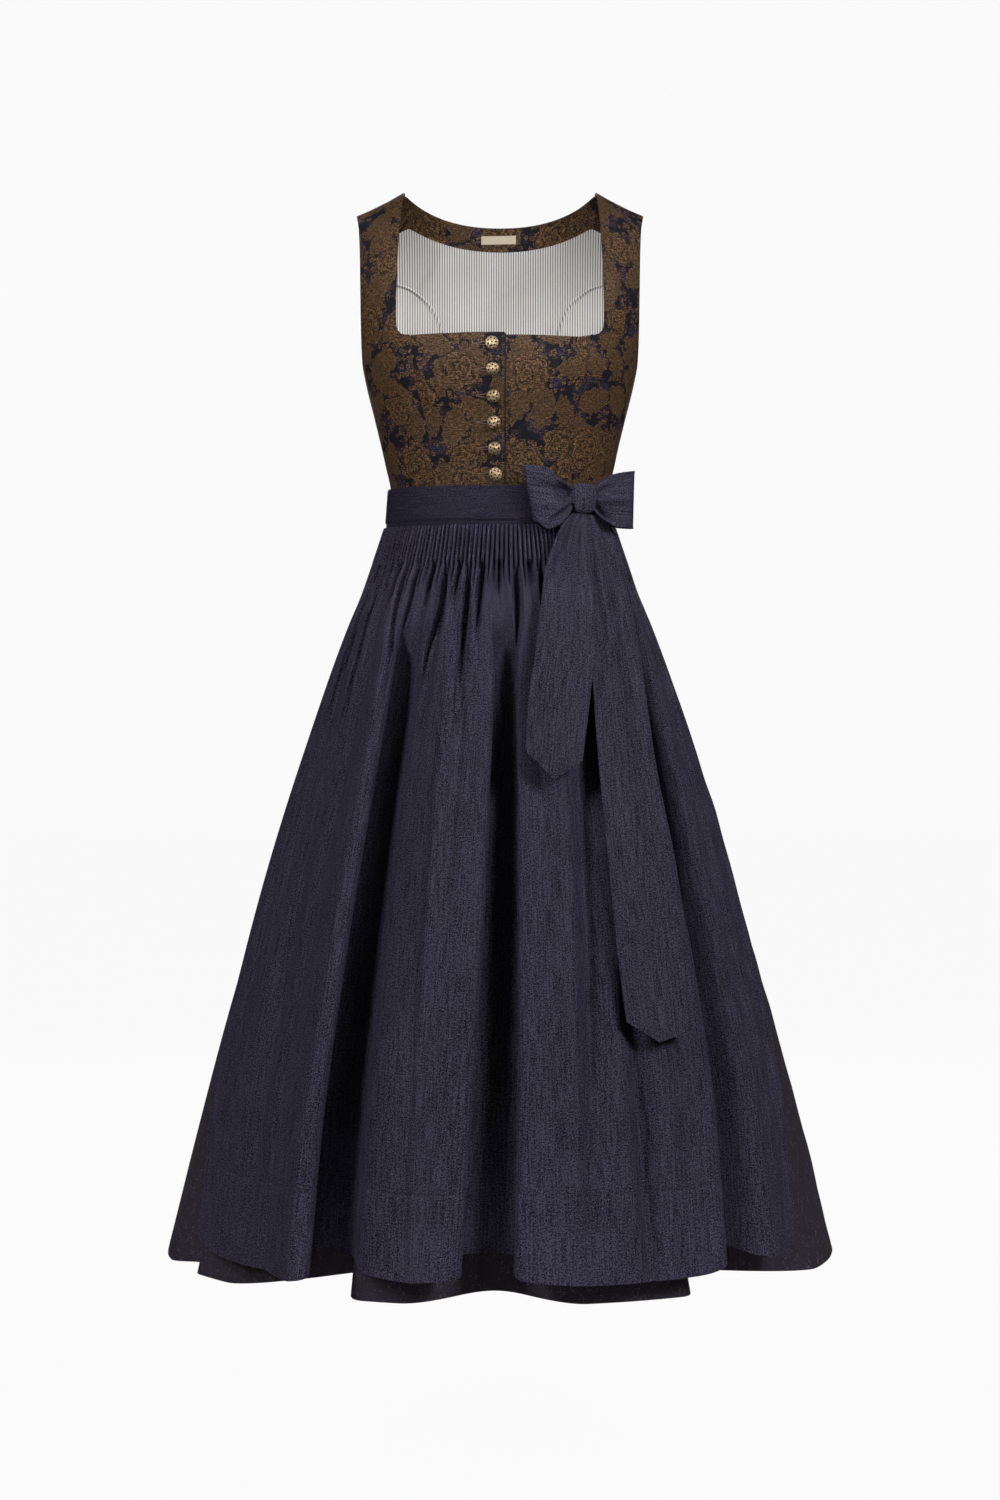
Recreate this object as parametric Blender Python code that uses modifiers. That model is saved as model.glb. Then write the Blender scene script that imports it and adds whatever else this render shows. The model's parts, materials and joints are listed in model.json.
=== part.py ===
"""A sleeveless dirndl on an unseen general figure: brocade bodice, gathered skirt and tied apron.

The frame has +X to the viewer's right, +Z up and the front of the dress towards -Y.
The origin lies midway between the two neck points of the shoulder seams, where the
shoulders carry the straps. `left` and `right` in names are the wearer's own sides.
Sizes are in millimetres and angles in degrees, and `new_object` turns them into metres.
"""

import math
from collections import Counter, namedtuple
from functools import lru_cache

import bmesh
import bpy
import numpy as np
from mathutils import Vector

MM = 0.001
PROBE = 1e-3  # step of the finite differences that give a surface's normal
DIAGONAL_BIAS = 0.98  # layers of the same cut split their facets alike

# Cloth walls and the seams between them.
BROCADE = 1.5
LINING = 1.0
SKIRT_CLOTH = 1.2
APRON_CLOTH = 1.0
TIE_CLOTH = 1.2
SEAM_GAP = 0.3
SEAM_HALF_ANGLE = math.radians(0.18)  # half a seam's gap, seen from the body's axis

# Bodice landmarks.
WAIST_Z = -348.0
NECKLINE_Z = -171.0
NECK_POINT_X = 103.0
SHOULDER_TIP_X = 154.0
SHOULDER_TIP_Z = -26.0
SHOULDER_CURVE = 0.8
SHOULDER_SEAM_Y = 4.0
FRONT_RISE_Z = -150.0  # above this the front straps arch back to the shoulder seam
BACK_RISE_Z = -110.0
NECK_RISE = 95.0  # how far the neck's base would rise above its points
BACK_NECK_DEPTH = 19.0
BACK_NECK_CURVE = 2.2
BACK_SEAM_RISE = 0.4

# Front closure and its buttons.
OVERLAP_EDGE_X = 5.0
UNDERLAP_EDGE_X = -20.0
OVERLAP_FROM_X = -46.0
OVERLAP_RAMP = 12.0
OVERLAP_HIGHER = 2.5
BUTTON_COUNT = 6
BUTTON_TOP = (-8.2, -183.0)
BUTTON_BOTTOM = (-4.8, -314.5)
BUTTON_GAP = 0.7

# Neck facing and label.
FACING_MIDDLE = 26.0
FACING_WIDENING = -1.0
LABEL_HALF_WIDTH = 19.5
LABEL_HEIGHT = 9.0
LABEL_CLOTH = 0.8
LABEL_X = -1.6
LABEL_Z = -31.5
LABEL_SLANT = 0.02
LABEL_GAP = 0.5  # the label is flat between its ends, and the facing is curved

# Skirt, apron, waistband and tie.
SKIRT_HEM_Z = -1132.0
APRON_TOP_Z = -362.3
SMOCKING_END_Z = -404.0
APRON_HEM_Z = -1105.0
APRON_SIDE_LIFT = 14.0
HEM_LIFT_IN_FOLDS = 0.07
PLEAT_COUNT = 96  # smocked pleats, one on each column of the apron
PLEAT_RELIEF = 1.1
WAISTBAND_TOP_Z = -325.0
WAISTBAND_HALF_ANGLE = 100.0
TIE_TOP_Z = -321.5
TIE_HEIGHT = 36.0
FRONT_DIP = 4.5

# Bow.
BOW_CENTRE = (86.0, -86.3, -339.0)
BOW_TURN = 25.0  # from the viewer's right towards the back
KNOT_SIZE = (29.0, 15.0, 32.0)
KNOT_SQUARENESS = 3.0
LOOP_HALF_GAP = 1.9
LOOP_CENTRE_FLARE = 0.22  # share by which a loop's lower edge falls short of its upper one
LOOP_SIDE_FLARE = 0.04
LOOP_PUFF = 7.5
TAIL_LAYER = 2.2
TAIL_SLANT = 11.0  # how much lower one corner of a tail is than the other
TAIL_FLATNESS = 0.9  # the tails bend less than the apron behind them

Ring = namedtuple("Ring", "z half_width front back power")
BODICE_RINGS = (
    Ring(z=-360, half_width=117.5, front=95, back=90, power=2.15),
    Ring(z=-330, half_width=116.5, front=94, back=89, power=2.15),
    Ring(z=-293, half_width=123.5, front=99, back=92, power=2.15),
    Ring(z=-250, half_width=133.5, front=108, back=96, power=2.2),
    Ring(z=-214, half_width=142.5, front=117.5, back=99.5, power=2.25),
    Ring(z=-195, half_width=146.5, front=119, back=101, power=2.3),
    Ring(z=-165, half_width=154, front=117, back=104, power=2.3),
    Ring(z=-110, half_width=163, front=110, back=107, power=2.3),
    Ring(z=-60, half_width=168, front=104, back=106, power=2.25),
    Ring(z=100, half_width=176, front=96, back=103, power=2.2),
)
SKIRT_RINGS = (
    Ring(z=-348, half_width=117, front=94.5, back=89.5, power=2),
    Ring(z=-374, half_width=121, front=102, back=98, power=2),
    Ring(z=-439, half_width=145, front=119, back=118, power=2),
    Ring(z=-535, half_width=181, front=144, back=148, power=2),
    Ring(z=-632, half_width=214, front=172, back=176, power=2),
    Ring(z=-761, half_width=257, front=205, back=211, power=2),
    Ring(z=-890, half_width=295, front=236, back=243, power=2),
    Ring(z=-1019, half_width=328, front=264, back=270, power=2),
    Ring(z=-1132, half_width=355, front=286, back=292, power=2),
)
APRON_RINGS = (
    Ring(z=-360, half_width=122, front=102.5, back=98, power=2),
    Ring(z=-410, half_width=139, front=119, back=116, power=2),
    Ring(z=-471, half_width=164, front=144, back=144, power=2),
    Ring(z=-568, half_width=198, front=180, back=176, power=2),
    Ring(z=-697, half_width=240, front=220, back=200, power=2),
    Ring(z=-826, half_width=279, front=257, back=234, power=2),
    Ring(z=-955, half_width=316, front=291, back=264, power=2),
    Ring(z=-1105, half_width=347, front=320, back=290, power=2),
)
WAISTBAND_RINGS = (
    Ring(z=-320, half_width=119.0, front=98.6, back=91.2, power=2.15),
    Ring(z=-370, half_width=122.8, front=104.2, back=99.6, power=2.08),
)

Edge = namedtuple("Edge", "z x")
ARMHOLE_EDGE = (
    Edge(z=-195, x=146.5),
    Edge(z=-180, x=146.7),
    Edge(z=-130, x=147.0),
    Edge(z=-89, x=147.8),
    Edge(z=-50, x=150.0),
    Edge(z=-26, x=154.0),
)
FRONT_SEAM = (
    Edge(z=-360, x=73.5),
    Edge(z=-300, x=74.0),
    Edge(z=-272, x=75.2),
    Edge(z=-245, x=81.0),
    Edge(z=-209, x=91.0),
    Edge(z=-171, x=94.5),
)
STRAP_INNER_EDGE = (
    Edge(z=-171, x=94.5),
    Edge(z=-168, x=103.5),
    Edge(z=-161, x=108.0),
    Edge(z=-150, x=108.5),
    Edge(z=-100, x=107.5),
    Edge(z=-26, x=103.0),
)
BACK_SEAM = (
    Edge(z=-360, x=52),
    Edge(z=-250, x=56),
    Edge(z=-170, x=62),
    Edge(z=-136, x=66),
    Edge(z=-118, x=72),
    Edge(z=-107, x=79),
    Edge(z=-98, x=93),
    Edge(z=-91, x=116),
    Edge(z=-83, x=148.0),
)

# A fold is an inward valley of the gathered cloth, centred on column `at` with `span`
# columns on each side, and ending round `hem_angle` at the hem. `lean` moves its bottom
# sideways, so that one lip hangs over it, and `pinch` draws both lips together.
Fold = namedtuple("Fold", "at span hem_angle half_angle start depth lean pinch")
SKIRT_FOLDS = (
    Fold(at=54, span=3, hem_angle=-1, half_angle=8, start=-500, depth=66, lean=0, pinch=2),
    Fold(at=43, span=4, hem_angle=-37, half_angle=12, start=-460, depth=96, lean=38, pinch=4),
    Fold(at=67.5, span=7, hem_angle=48, half_angle=18, start=-410, depth=104, lean=-58, pinch=0),
    Fold(at=33, span=3, hem_angle=-67, half_angle=8, start=-520, depth=24, lean=0, pinch=0),
    Fold(at=25, span=3, hem_angle=-97, half_angle=8, start=-440, depth=50, lean=12, pinch=5),
    Fold(at=83.5, span=3, hem_angle=98, half_angle=8, start=-440, depth=54, lean=-12, pinch=5),
    Fold(at=17.5, span=3, hem_angle=-123, half_angle=8, start=-420, depth=72, lean=8, pinch=7),
    Fold(at=91, span=3, hem_angle=122, half_angle=8, start=-430, depth=64, lean=10, pinch=7),
    Fold(at=9.5, span=3, hem_angle=-148, half_angle=9, start=-425, depth=62, lean=-12, pinch=7),
    Fold(at=98.5, span=3, hem_angle=149, half_angle=9, start=-420, depth=78, lean=-12, pinch=7),
    Fold(at=2, span=3, hem_angle=-174, half_angle=8, start=-430, depth=72, lean=10, pinch=7),
)
APRON_FOLDS = (
    Fold(at=27.2, span=3.6, hem_angle=-36.8, half_angle=6.8, start=-440, depth=-26, lean=42, pinch=0),
    Fold(at=31.2, span=4.3, hem_angle=-28.2, half_angle=8.6, start=-450, depth=58, lean=-40, pinch=3),
    Fold(at=48, span=3.6, hem_angle=-2, half_angle=5.2, start=-480, depth=72, lean=0, pinch=4),
    Fold(at=63, span=4.5, hem_angle=16, half_angle=7, start=-440, depth=24, lean=0, pinch=0),
    Fold(at=78.5, span=4.5, hem_angle=45, half_angle=8.5, start=-440, depth=48, lean=-26, pinch=3),
)

Drape = namedtuple(
    "Drape",
    "rings folds columns first_angle last_angle hem_first hem_last top_z hem_z"
    " gathers gather_start gather_end gather_depth side_lift",
)
SKIRT = Drape(
    rings=SKIRT_RINGS, folds=SKIRT_FOLDS, columns=108,
    first_angle=-180, last_angle=180, hem_first=-180, hem_last=180,
    top_z=WAIST_Z - SEAM_GAP, hem_z=SKIRT_HEM_Z,
    gathers=54, gather_start=-350, gather_end=-520, gather_depth=4.5, side_lift=0,
)
APRON = Drape(
    rings=APRON_RINGS, folds=APRON_FOLDS, columns=PLEAT_COUNT,
    first_angle=-WAISTBAND_HALF_ANGLE, last_angle=WAISTBAND_HALF_ANGLE, hem_first=-69, hem_last=68,
    top_z=APRON_TOP_Z, hem_z=APRON_HEM_Z,
    gathers=PLEAT_COUNT // 3, gather_start=SMOCKING_END_Z, gather_end=-570, gather_depth=6.5,
    side_lift=APRON_SIDE_LIFT,
)
SKIRT_LEVELS = (-366, -400, -450, -520, -620, -750, -920)
APRON_LEVELS = (-418, -438, -470, -515, -590, -690, -810, -950)

# Free ends of the tie, from their top to their slanted points.
Tail = namedtuple("Tail", "z left right")
TAIL_SHORT = (
    Tail(z=-355.2, left=75, right=90),
    Tail(z=-368, left=64, right=90),
    Tail(z=-413, left=47, right=93),
    Tail(z=-455, left=41, right=97),
    Tail(z=-500, left=36, right=96),
    Tail(z=-545, left=29, right=91),
    Tail(z=-600, left=25, right=82),
)
TAIL_LONG = (
    Tail(z=-355.2, left=84, right=106),
    Tail(z=-372, left=80, right=121),
    Tail(z=-401, left=80, right=130),
    Tail(z=-461, left=86, right=140),
    Tail(z=-522, left=93, right=147),
    Tail(z=-590, left=97, right=155),
    Tail(z=-650, left=102, right=164),
    Tail(z=-720, left=108, right=174),
    Tail(z=-790, left=114, right=182),
    Tail(z=-864, left=123, right=188),
)
TAIL_SHORT_POINT = 24.0
TAIL_LONG_POINT = 15.0

# Outline of a bow loop: distance from the knot, with its upper and lower edge.
Loop = namedtuple("Loop", "z upper lower")
LOOP_CENTRE = (
    Loop(z=0, upper=13.0, lower=-12.0),
    Loop(z=12, upper=17.0, lower=-24.0),
    Loop(z=38, upper=31.5, lower=-33.0),
    Loop(z=57, upper=31.5, lower=-26.0),
)
LOOP_SIDE = (
    Loop(z=0, upper=14.0, lower=-11.0),
    Loop(z=9, upper=21.0, lower=-20.0),
    Loop(z=23, upper=27.5, lower=-28.0),
    Loop(z=45, upper=31.5, lower=-29.5),
)


def lerp(start, end, t):
    return start + (end - start) * t


def ease(t):
    t = min(max(t, 0.0), 1.0)
    return t * t * (3 - 2 * t)


def signed_power(value, exponent):
    return math.copysign(abs(value) ** exponent, value)


@lru_cache(maxsize=None)
def curve_of(table, column):
    """A column's heights, values and slopes, for a smooth curve through its rows."""
    rows = sorted(table, key=lambda row: row.z)
    heights = np.array([row.z for row in rows], float)
    values = np.array([getattr(row, column) for row in rows], float)
    steps = np.diff(values) / np.diff(heights)
    slopes = np.concatenate(([steps[0]], np.zeros(len(rows) - 2), [steps[-1]]))
    for at in range(1, len(rows) - 1):
        if steps[at - 1] * steps[at] > 0:
            slopes[at] = 2 * steps[at - 1] * steps[at] / (steps[at - 1] + steps[at])
    return heights, values, slopes


@lru_cache(maxsize=None)
def through(table, column, z):
    """A named column of a table at height z, without overshoot between its rows."""
    heights, values, slopes = curve_of(table, column)
    at = int(np.clip(np.searchsorted(heights, z) - 1, 0, len(heights) - 2))
    span = heights[at + 1] - heights[at]
    t = float(np.clip((z - heights[at]) / span, 0, 1))
    return float(
        values[at] * (1 + 2 * t) * (1 - t) ** 2
        + slopes[at] * span * t * (1 - t) ** 2
        + values[at + 1] * t * t * (3 - 2 * t)
        + slopes[at + 1] * span * t * t * (t - 1)
    )


@lru_cache(maxsize=None)
def ring_at(table, z):
    return Ring(z, *(through(table, column, z) for column in Ring._fields[1:]))


def on_ring(ring, angle):
    """A point on a ring, its outward normal and its tangent, in the plane of the ring."""
    sine, cosine = math.sin(angle), math.cos(angle)
    depth = ring.front if cosine > 0 else ring.back
    x = ring.half_width * signed_power(sine, 2 / ring.power)
    y = -depth * signed_power(cosine, 2 / ring.power)
    normal = np.array([
        signed_power(x / ring.half_width, ring.power - 1) / ring.half_width,
        signed_power(y / depth, ring.power - 1) / depth,
    ])
    normal /= np.linalg.norm(normal)
    return np.array([x, y]), normal, np.array([-normal[1], normal[0]])


def inset(surface, distance):
    """The surface moved inwards along its normals."""
    def moved(a, b):
        along = np.subtract(surface(a + PROBE, b), surface(a - PROBE, b))
        up = np.subtract(surface(a, b + PROBE), surface(a, b - PROBE))
        normal = np.cross(along, up)
        return np.asarray(surface(a, b)) - normal * (distance / np.linalg.norm(normal))
    return moved


# Objects

def clear_scene():
    for item in list(bpy.data.objects):
        bpy.data.objects.remove(item, do_unlink=True)


def new_material(name, colour, roughness, metallic=0.0):
    material = bpy.data.materials.new(name)
    material.use_nodes = True
    shader = material.node_tree.nodes["Principled BSDF"]
    shader.inputs["Base Color"].default_value = (*colour, 1)
    shader.inputs["Roughness"].default_value = roughness
    shader.inputs["Metallic"].default_value = metallic
    return material


def new_object(name, points, faces, material):
    """A closed, smooth-shaded object from points in millimetres."""
    mesh = bpy.data.meshes.new(name)
    mesh.from_pydata([tuple(np.asarray(point) * MM) for point in points], [], faces)
    work = bmesh.new()
    work.from_mesh(mesh)
    bmesh.ops.recalc_face_normals(work, faces=work.faces)
    work.to_mesh(mesh)
    work.free()
    mesh.shade_smooth()
    mesh.set_sharp_from_angle(angle=math.radians(40))
    mesh.materials.append(material)
    made = bpy.data.objects.new(name, mesh)
    dress.objects.link(made)
    return made


def strip_faces(points, upper, lower, first_upper, first_lower):
    """Triangles between two rows of columns, split along the shorter diagonal where they pair up."""
    faces = []
    i = j = 0
    while i < len(upper) - 1 or j < len(lower) - 1:
        next_upper = upper[i + 1] if i < len(upper) - 1 else math.inf
        next_lower = lower[j + 1] if j < len(lower) - 1 else math.inf
        above, below = first_upper + i, first_lower + j
        if next_upper == next_lower:
            falling = np.linalg.norm(points[above] - points[below + 1])
            rising = np.linalg.norm(points[below] - points[above + 1])
            if rising < DIAGONAL_BIAS * falling:
                faces += [(above, below, above + 1), (above + 1, below, below + 1)]
            else:
                faces += [(above, below, below + 1), (above, below + 1, above + 1)]
            i, j = i + 1, j + 1
        elif next_upper < next_lower:
            faces.append((above, below, above + 1))
            i += 1
        else:
            faces.append((above, below, below + 1))
            j += 1
    return faces


def cloth(name, outer, inner, rows, material, closed=False):
    """A wall between two surfaces. `rows` pairs a level with its columns, from the top down."""
    faces, starts, count = [], [], 0
    for _, columns in rows:
        starts.append(count)
        count += len(columns)
    points = [np.asarray(outer(column, level)) for level, columns in rows for column in columns]
    points += [np.asarray(inner(column, level)) for level, columns in rows for column in columns]
    for at in range(len(rows) - 1):
        faces += strip_faces(points, rows[at][1], rows[at + 1][1], starts[at], starts[at + 1])
    if closed:
        faces = weld_round(faces, rows, starts)
    backs = [tuple(count + corner for corner in reversed(face)) for face in faces]
    used = Counter(
        (face[i], face[(i + 1) % len(face)]) for face in faces for i in range(len(face))
    )
    for a, b in [edge for edge in used if edge[::-1] not in used]:
        backs += [(b, a, count + a), (b, count + a, count + b)]
    return new_object(name, *drop_loose(points, faces + backs), material)


def weld_round(faces, rows, starts):
    """Joins each row's last column to its first, for a wall that closes on itself."""
    same = {start + len(columns) - 1: start for start, (_, columns) in zip(starts, rows)}
    return [tuple(same.get(corner, corner) for corner in face) for face in faces]


def drop_loose(points, faces):
    used = sorted({corner for face in faces for corner in face})
    place = {corner: at for at, corner in enumerate(used)}
    return [points[corner] for corner in used], [tuple(place[c] for c in face) for face in faces]


def panel(name, surface, rows, thickness, material, depth=0.0, closed=False):
    """A cloth wall whose outer face lies `depth` inside a surface."""
    outer = inset(surface, depth) if depth else surface
    return cloth(name, outer, inset(surface, depth + thickness), rows, material, closed)


def even(count, start=0.0, end=1.0):
    return [float(value) for value in np.linspace(start, end, count + 1)]


# Bodice

def shoulder_z(x):
    """Top of the body above a point at x: shoulder slope, then the base of the neck."""
    x = abs(x)
    if x >= NECK_POINT_X:
        share = (x - NECK_POINT_X) / (SHOULDER_TIP_X - NECK_POINT_X)
        return SHOULDER_TIP_Z * share ** SHOULDER_CURVE
    return NECK_RISE * (1 - (x / NECK_POINT_X) ** 2) ** 1.5


def back_top_z(x):
    """Upper edge of the back: the neckline, then the shoulder seams."""
    if abs(x) >= NECK_POINT_X:
        return shoulder_z(x)
    return -BACK_NECK_DEPTH * (1 - (abs(x) / NECK_POINT_X) ** BACK_NECK_CURVE)


def facing_end_z(x):
    widening = FACING_WIDENING * min(abs(x) / NECK_POINT_X, 1.2)
    return back_top_z(x) - FACING_MIDDLE - widening


def turn_at(x, z, base):
    """How far the cloth has arched over at height z, as an angle."""
    return math.asin(min(max((z - base) / (shoulder_z(x) - base), -1.0), 1.0))


def arch_turn(x, b, side):
    """The arch's angle at share b of its way; on the back, half-way is the facing's lower edge."""
    if side < 0:
        return b * math.pi / 2
    middle = turn_at(x, facing_end_z(x), BACK_RISE_Z)
    if b < 0.5:
        return 2 * b * middle
    return lerp(middle, turn_at(x, back_top_z(x), BACK_RISE_Z), 2 * b - 1)


def level_of(b, side):
    """Height at the armhole edge for b, in millimetres below the arch or shares of the arch."""
    base = FRONT_RISE_Z if side < 0 else BACK_RISE_Z
    return base + b if b <= 0 else base + (SHOULDER_TIP_Z - base) * math.sin(
        arch_turn(SHOULDER_TIP_X, b, side)
    )


def spread_of_x(x, z):
    """Angle from the middle of the front or back to a point x to the side, at height z."""
    ring = ring_at(BODICE_RINGS, z)
    share = min(abs(x) / ring.half_width, 1.0)
    return math.copysign(math.asin(share ** (ring.power / 2)), x)


def spread_of(edge, z):
    return spread_of_x(through(edge, "x", z), z)


def at_turn(x, turn, side):
    """A point of the arch that takes the cloth over to the shoulder seam."""
    base = FRONT_RISE_Z if side < 0 else BACK_RISE_Z
    z = base + (shoulder_z(x) - base) * math.sin(turn)
    ring = ring_at(BODICE_RINGS, z)
    depth = ring.front if side < 0 else ring.back
    reach = depth * (1 - min(abs(x) / ring.half_width, 1.0) ** ring.power) ** (1 / ring.power)
    seam_y = SHOULDER_SEAM_Y + side * SEAM_GAP / 2
    return np.array([x, lerp(seam_y, side * reach, math.cos(turn)), z])


def body_point(spread, b, side):
    level = level_of(b, side)
    ring = ring_at(BODICE_RINGS, level)
    x = ring.half_width * signed_power(math.sin(spread), 2 / ring.power)
    if b > 0:
        return at_turn(x, arch_turn(x, b, side), side)
    depth = ring.front if side < 0 else ring.back
    return np.array([x, side * depth * signed_power(math.cos(spread), 2 / ring.power), level])


def front(spread, b):
    return body_point(spread, b, -1)


def back(spread, b):
    """The back, with its angle counted from the middle towards the wearer's right."""
    return body_point(-spread, b, 1)


def raised_front(spread, b):
    """The front, raised over the closure where one side laps over the other."""
    point = front(spread, b)
    point[1] -= (BROCADE + SEAM_GAP) * ease((point[0] - OVERLAP_FROM_X) / OVERLAP_RAMP)
    return point


def outer_edge(level):
    """The side seam, then the armhole above it."""
    if level <= ARMHOLE_EDGE[0].z:
        return math.pi / 2 - SEAM_HALF_ANGLE
    return spread_of(ARMHOLE_EDGE, level)


def side_front(a, b):
    """Place on the wearer's left side front and strap, from the princess seam outwards."""
    level = level_of(b, -1)
    inner = spread_of(FRONT_SEAM if level < NECKLINE_Z else STRAP_INNER_EDGE, level)
    inner += SEAM_HALF_ANGLE if level <= NECKLINE_Z else 0
    return lerp(inner, outer_edge(level), a), b


def centre_front(inner_x):
    """Places on the wearer's left centre front, from `inner_x` to the princess seam."""
    def place(a, b):
        level = level_of(b, -1)
        end = spread_of(FRONT_SEAM, level) - SEAM_HALF_ANGLE
        return lerp(spread_of_x(inner_x, level), end, a), b
    return place


def centre_back(a, b):
    """Place on the centre back; a runs from -1 to 1 towards the wearer's right."""
    level = level_of(b, 1)
    if level < BACK_SEAM[-1].z:
        return a * (spread_of(BACK_SEAM, level) - SEAM_HALF_ANGLE), b
    return a * spread_of(ARMHOLE_EDGE, level), b


def side_back(a, b):
    """Place on the wearer's right side back, from the curved seam to the side seam."""
    level = level_of(b, 1)
    inner = spread_of(BACK_SEAM, level + BACK_SEAM_RISE) + SEAM_HALF_ANGLE
    return lerp(inner, outer_edge(level), a), b


def other_side(place):
    def mirrored(a, b):
        spread, b = place(1 - a, b)
        return -spread, b
    return mirrored


def label_place(a, b):
    """The label lies level across the facing: a to the wearer's right, b upwards."""
    x = LABEL_X - a * LABEL_HALF_WIDTH
    z = LABEL_Z + (b - 0.5) * LABEL_HEIGHT + LABEL_SLANT * (x - LABEL_X)
    return at_turn(x, turn_at(x, z, BACK_RISE_Z), 1)


def neck_columns():
    """Columns over the whole back, with one on each neck point."""
    corner = spread_of_x(NECK_POINT_X, SHOULDER_TIP_Z) / spread_of(ARMHOLE_EDGE, SHOULDER_TIP_Z)
    half = [corner * share for share in (0.19, 0.55, 0.82, 1)]
    half += [lerp(corner, 1, share) for share in (0.5, 1)]
    return [-value for value in reversed(half)] + [0.0] + half


def bodice_panel(name, place, surface, rows, thickness, material, depth=0.0):
    """A panel whose outer face lies `depth` inside the bodice's surface, on the given places."""
    outer = inset(surface, depth)
    inner = inset(surface, depth + thickness)
    return cloth(name, lambda a, b: outer(*place(a, b)), lambda a, b: inner(*place(a, b)), rows, material)


def make_bodice():
    low = [z - FRONT_RISE_Z for z in (-190, -212, -238, -264, -296, -326, WAIST_Z)]
    strap = [1.0, 0.93, 0.82, 0.66, 0.46, 0.22, 0.0]
    strap += [z - FRONT_RISE_Z for z in (-161, -168, NECKLINE_Z, -180)]
    side_rows = [(b, even(5)) for b in strap + low]
    left_rows = [(b, even(7)) for b in [NECKLINE_Z - OVERLAP_HIGHER - FRONT_RISE_Z] + low]
    right_rows = [(b, even(8)) for b in [NECKLINE_Z - FRONT_RISE_Z] + low]
    overlap = other_side(centre_front(-OVERLAP_EDGE_X))
    bodice_panel("bodice_side_front_left", side_front, front, side_rows, BROCADE, brocade)
    bodice_panel("bodice_side_front_right", other_side(side_front), front, side_rows, BROCADE, brocade)
    bodice_panel("bodice_front_left", centre_front(UNDERLAP_EDGE_X), front, left_rows, BROCADE, brocade)
    bodice_panel("bodice_front_right", overlap, raised_front, right_rows, BROCADE, brocade)

    below = [z - BACK_RISE_Z for z in (-124, -145, -175, -195, -240, -290, -326, WAIST_Z)]
    seam = [0.25, 0.215, 0.18, 0.14, 0.09, 0.04, 0.0] + below
    arch = [0.38, 0.268] + seam
    columns = neck_columns()
    whole = [(b, columns) for b in [1.0, 0.95, 0.85, 0.7, 0.5] + arch]
    side_rows = [(b, even(4)) for b in seam]
    bodice_panel("bodice_centre_back", centre_back, back, whole, BROCADE, brocade)
    bodice_panel("bodice_side_back_right", side_back, back, side_rows, BROCADE, brocade)
    bodice_panel("bodice_side_back_left", other_side(side_back), back, side_rows, BROCADE, brocade)

    depth = BROCADE + SEAM_GAP
    facing_rows = [(b, columns) for b in (1.0, 0.95, 0.85, 0.7, 0.5)]
    lining_rows = [(b, columns) for b in [0.496] + arch]
    bodice_panel("neck_facing", centre_back, back, facing_rows, LINING, brocade, depth)
    bodice_panel("lining_centre_back", centre_back, back, lining_rows, LINING, lining, depth)
    bodice_panel("lining_side_back_right", side_back, back, side_rows, LINING, lining, depth)
    bodice_panel("lining_side_back_left", other_side(side_back), back, side_rows, LINING, lining, depth)
    label_rows = [(b, even(4, -1, 1)) for b in (1.0, 0.0)]
    panel("neck_label", label_place, label_rows, LABEL_CLOTH, label, depth + LINING + LABEL_GAP)


# Buttons

def make_button(name, x, z):
    """A domed button standing on its shank, square to the front edge under it."""
    place = spread_of_x(x, z), z - FRONT_RISE_Z
    foot = inset(raised_front, -BUTTON_GAP)(*place)
    normal = Vector(foot - raised_front(*place)).normalized()

    profile = [(0, 0), (2.2, 0), (2.2, 1.4), (5.4, 1.9), (6.5, 3.4), (6.1, 5.2), (4.3, 7.0), (0, 7.8)]
    mesh = bpy.data.meshes.new(name)
    mesh.from_pydata([(r * MM, 0, h * MM) for r, h in profile], [(i + 1, i) for i in range(len(profile) - 1)], [])
    button = bpy.data.objects.new(name, mesh)
    dress.objects.link(button)
    turn = button.modifiers.new("Turned", "SCREW")
    turn.steps = turn.render_steps = 12
    turn.use_merge_vertices = True
    turn.merge_threshold = 1e-5
    button.location = Vector(foot) * MM
    button.rotation_mode = "QUATERNION"
    button.rotation_quaternion = normal.to_track_quat("Z", "Y")
    mesh.materials.append(brass)


def make_buttons():
    for at in range(BUTTON_COUNT):
        share = at / (BUTTON_COUNT - 1)
        x, z = (lerp(BUTTON_TOP[i], BUTTON_BOTTOM[i], share) for i in range(2))
        make_button(f"button_{at + 1}", x, z)


# Skirt and apron

@lru_cache(maxsize=None)
def hem_stations(drape):
    """Columns and the angles that they reach at the hem."""
    closed = drape.last_angle - drape.first_angle == 360
    rounds = (-1, 0, 1) if closed else (0,)
    stations = set() if closed else {(0.0, drape.hem_first), (float(drape.columns), drape.hem_last)}
    for fold in drape.folds:
        for turn in rounds:
            for side in (-1, 0, 1):
                column = fold.at + side * fold.span + turn * drape.columns
                stations.add((column, fold.hem_angle + side * fold.half_angle + turn * 360))
    columns, angles = zip(*sorted(stations))
    return np.array(columns), np.array(angles)


def drape_angle(drape, q, z):
    top = lerp(drape.first_angle, drape.last_angle, q / drape.columns)
    progress = min(max((drape.top_z - z) / (drape.top_z - drape.hem_z), 0.0), 1.0)
    return math.radians(lerp(top, float(np.interp(q, *hem_stations(drape))), progress ** 0.85))


def fold_shift(drape, q, z):
    """How far the folds move column q inwards and sideways at height z."""
    inward = sideways = 0.0
    for fold in drape.folds:
        away = (q - fold.at + drape.columns / 2) % drape.columns - drape.columns / 2
        across = away / fold.span
        if abs(across) >= 1 or z >= fold.start:
            continue
        grown = ((fold.start - z) / (fold.start - drape.hem_z)) ** 0.75
        grown = min(grown, 1.0) * ease((fold.start - z) / 90)
        bump = math.cos(math.pi * across / 2) ** 2
        inward += grown * fold.depth * bump
        sideways += grown * (fold.lean * bump - fold.pinch * math.sin(math.pi * across))
    return inward, sideways


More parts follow.
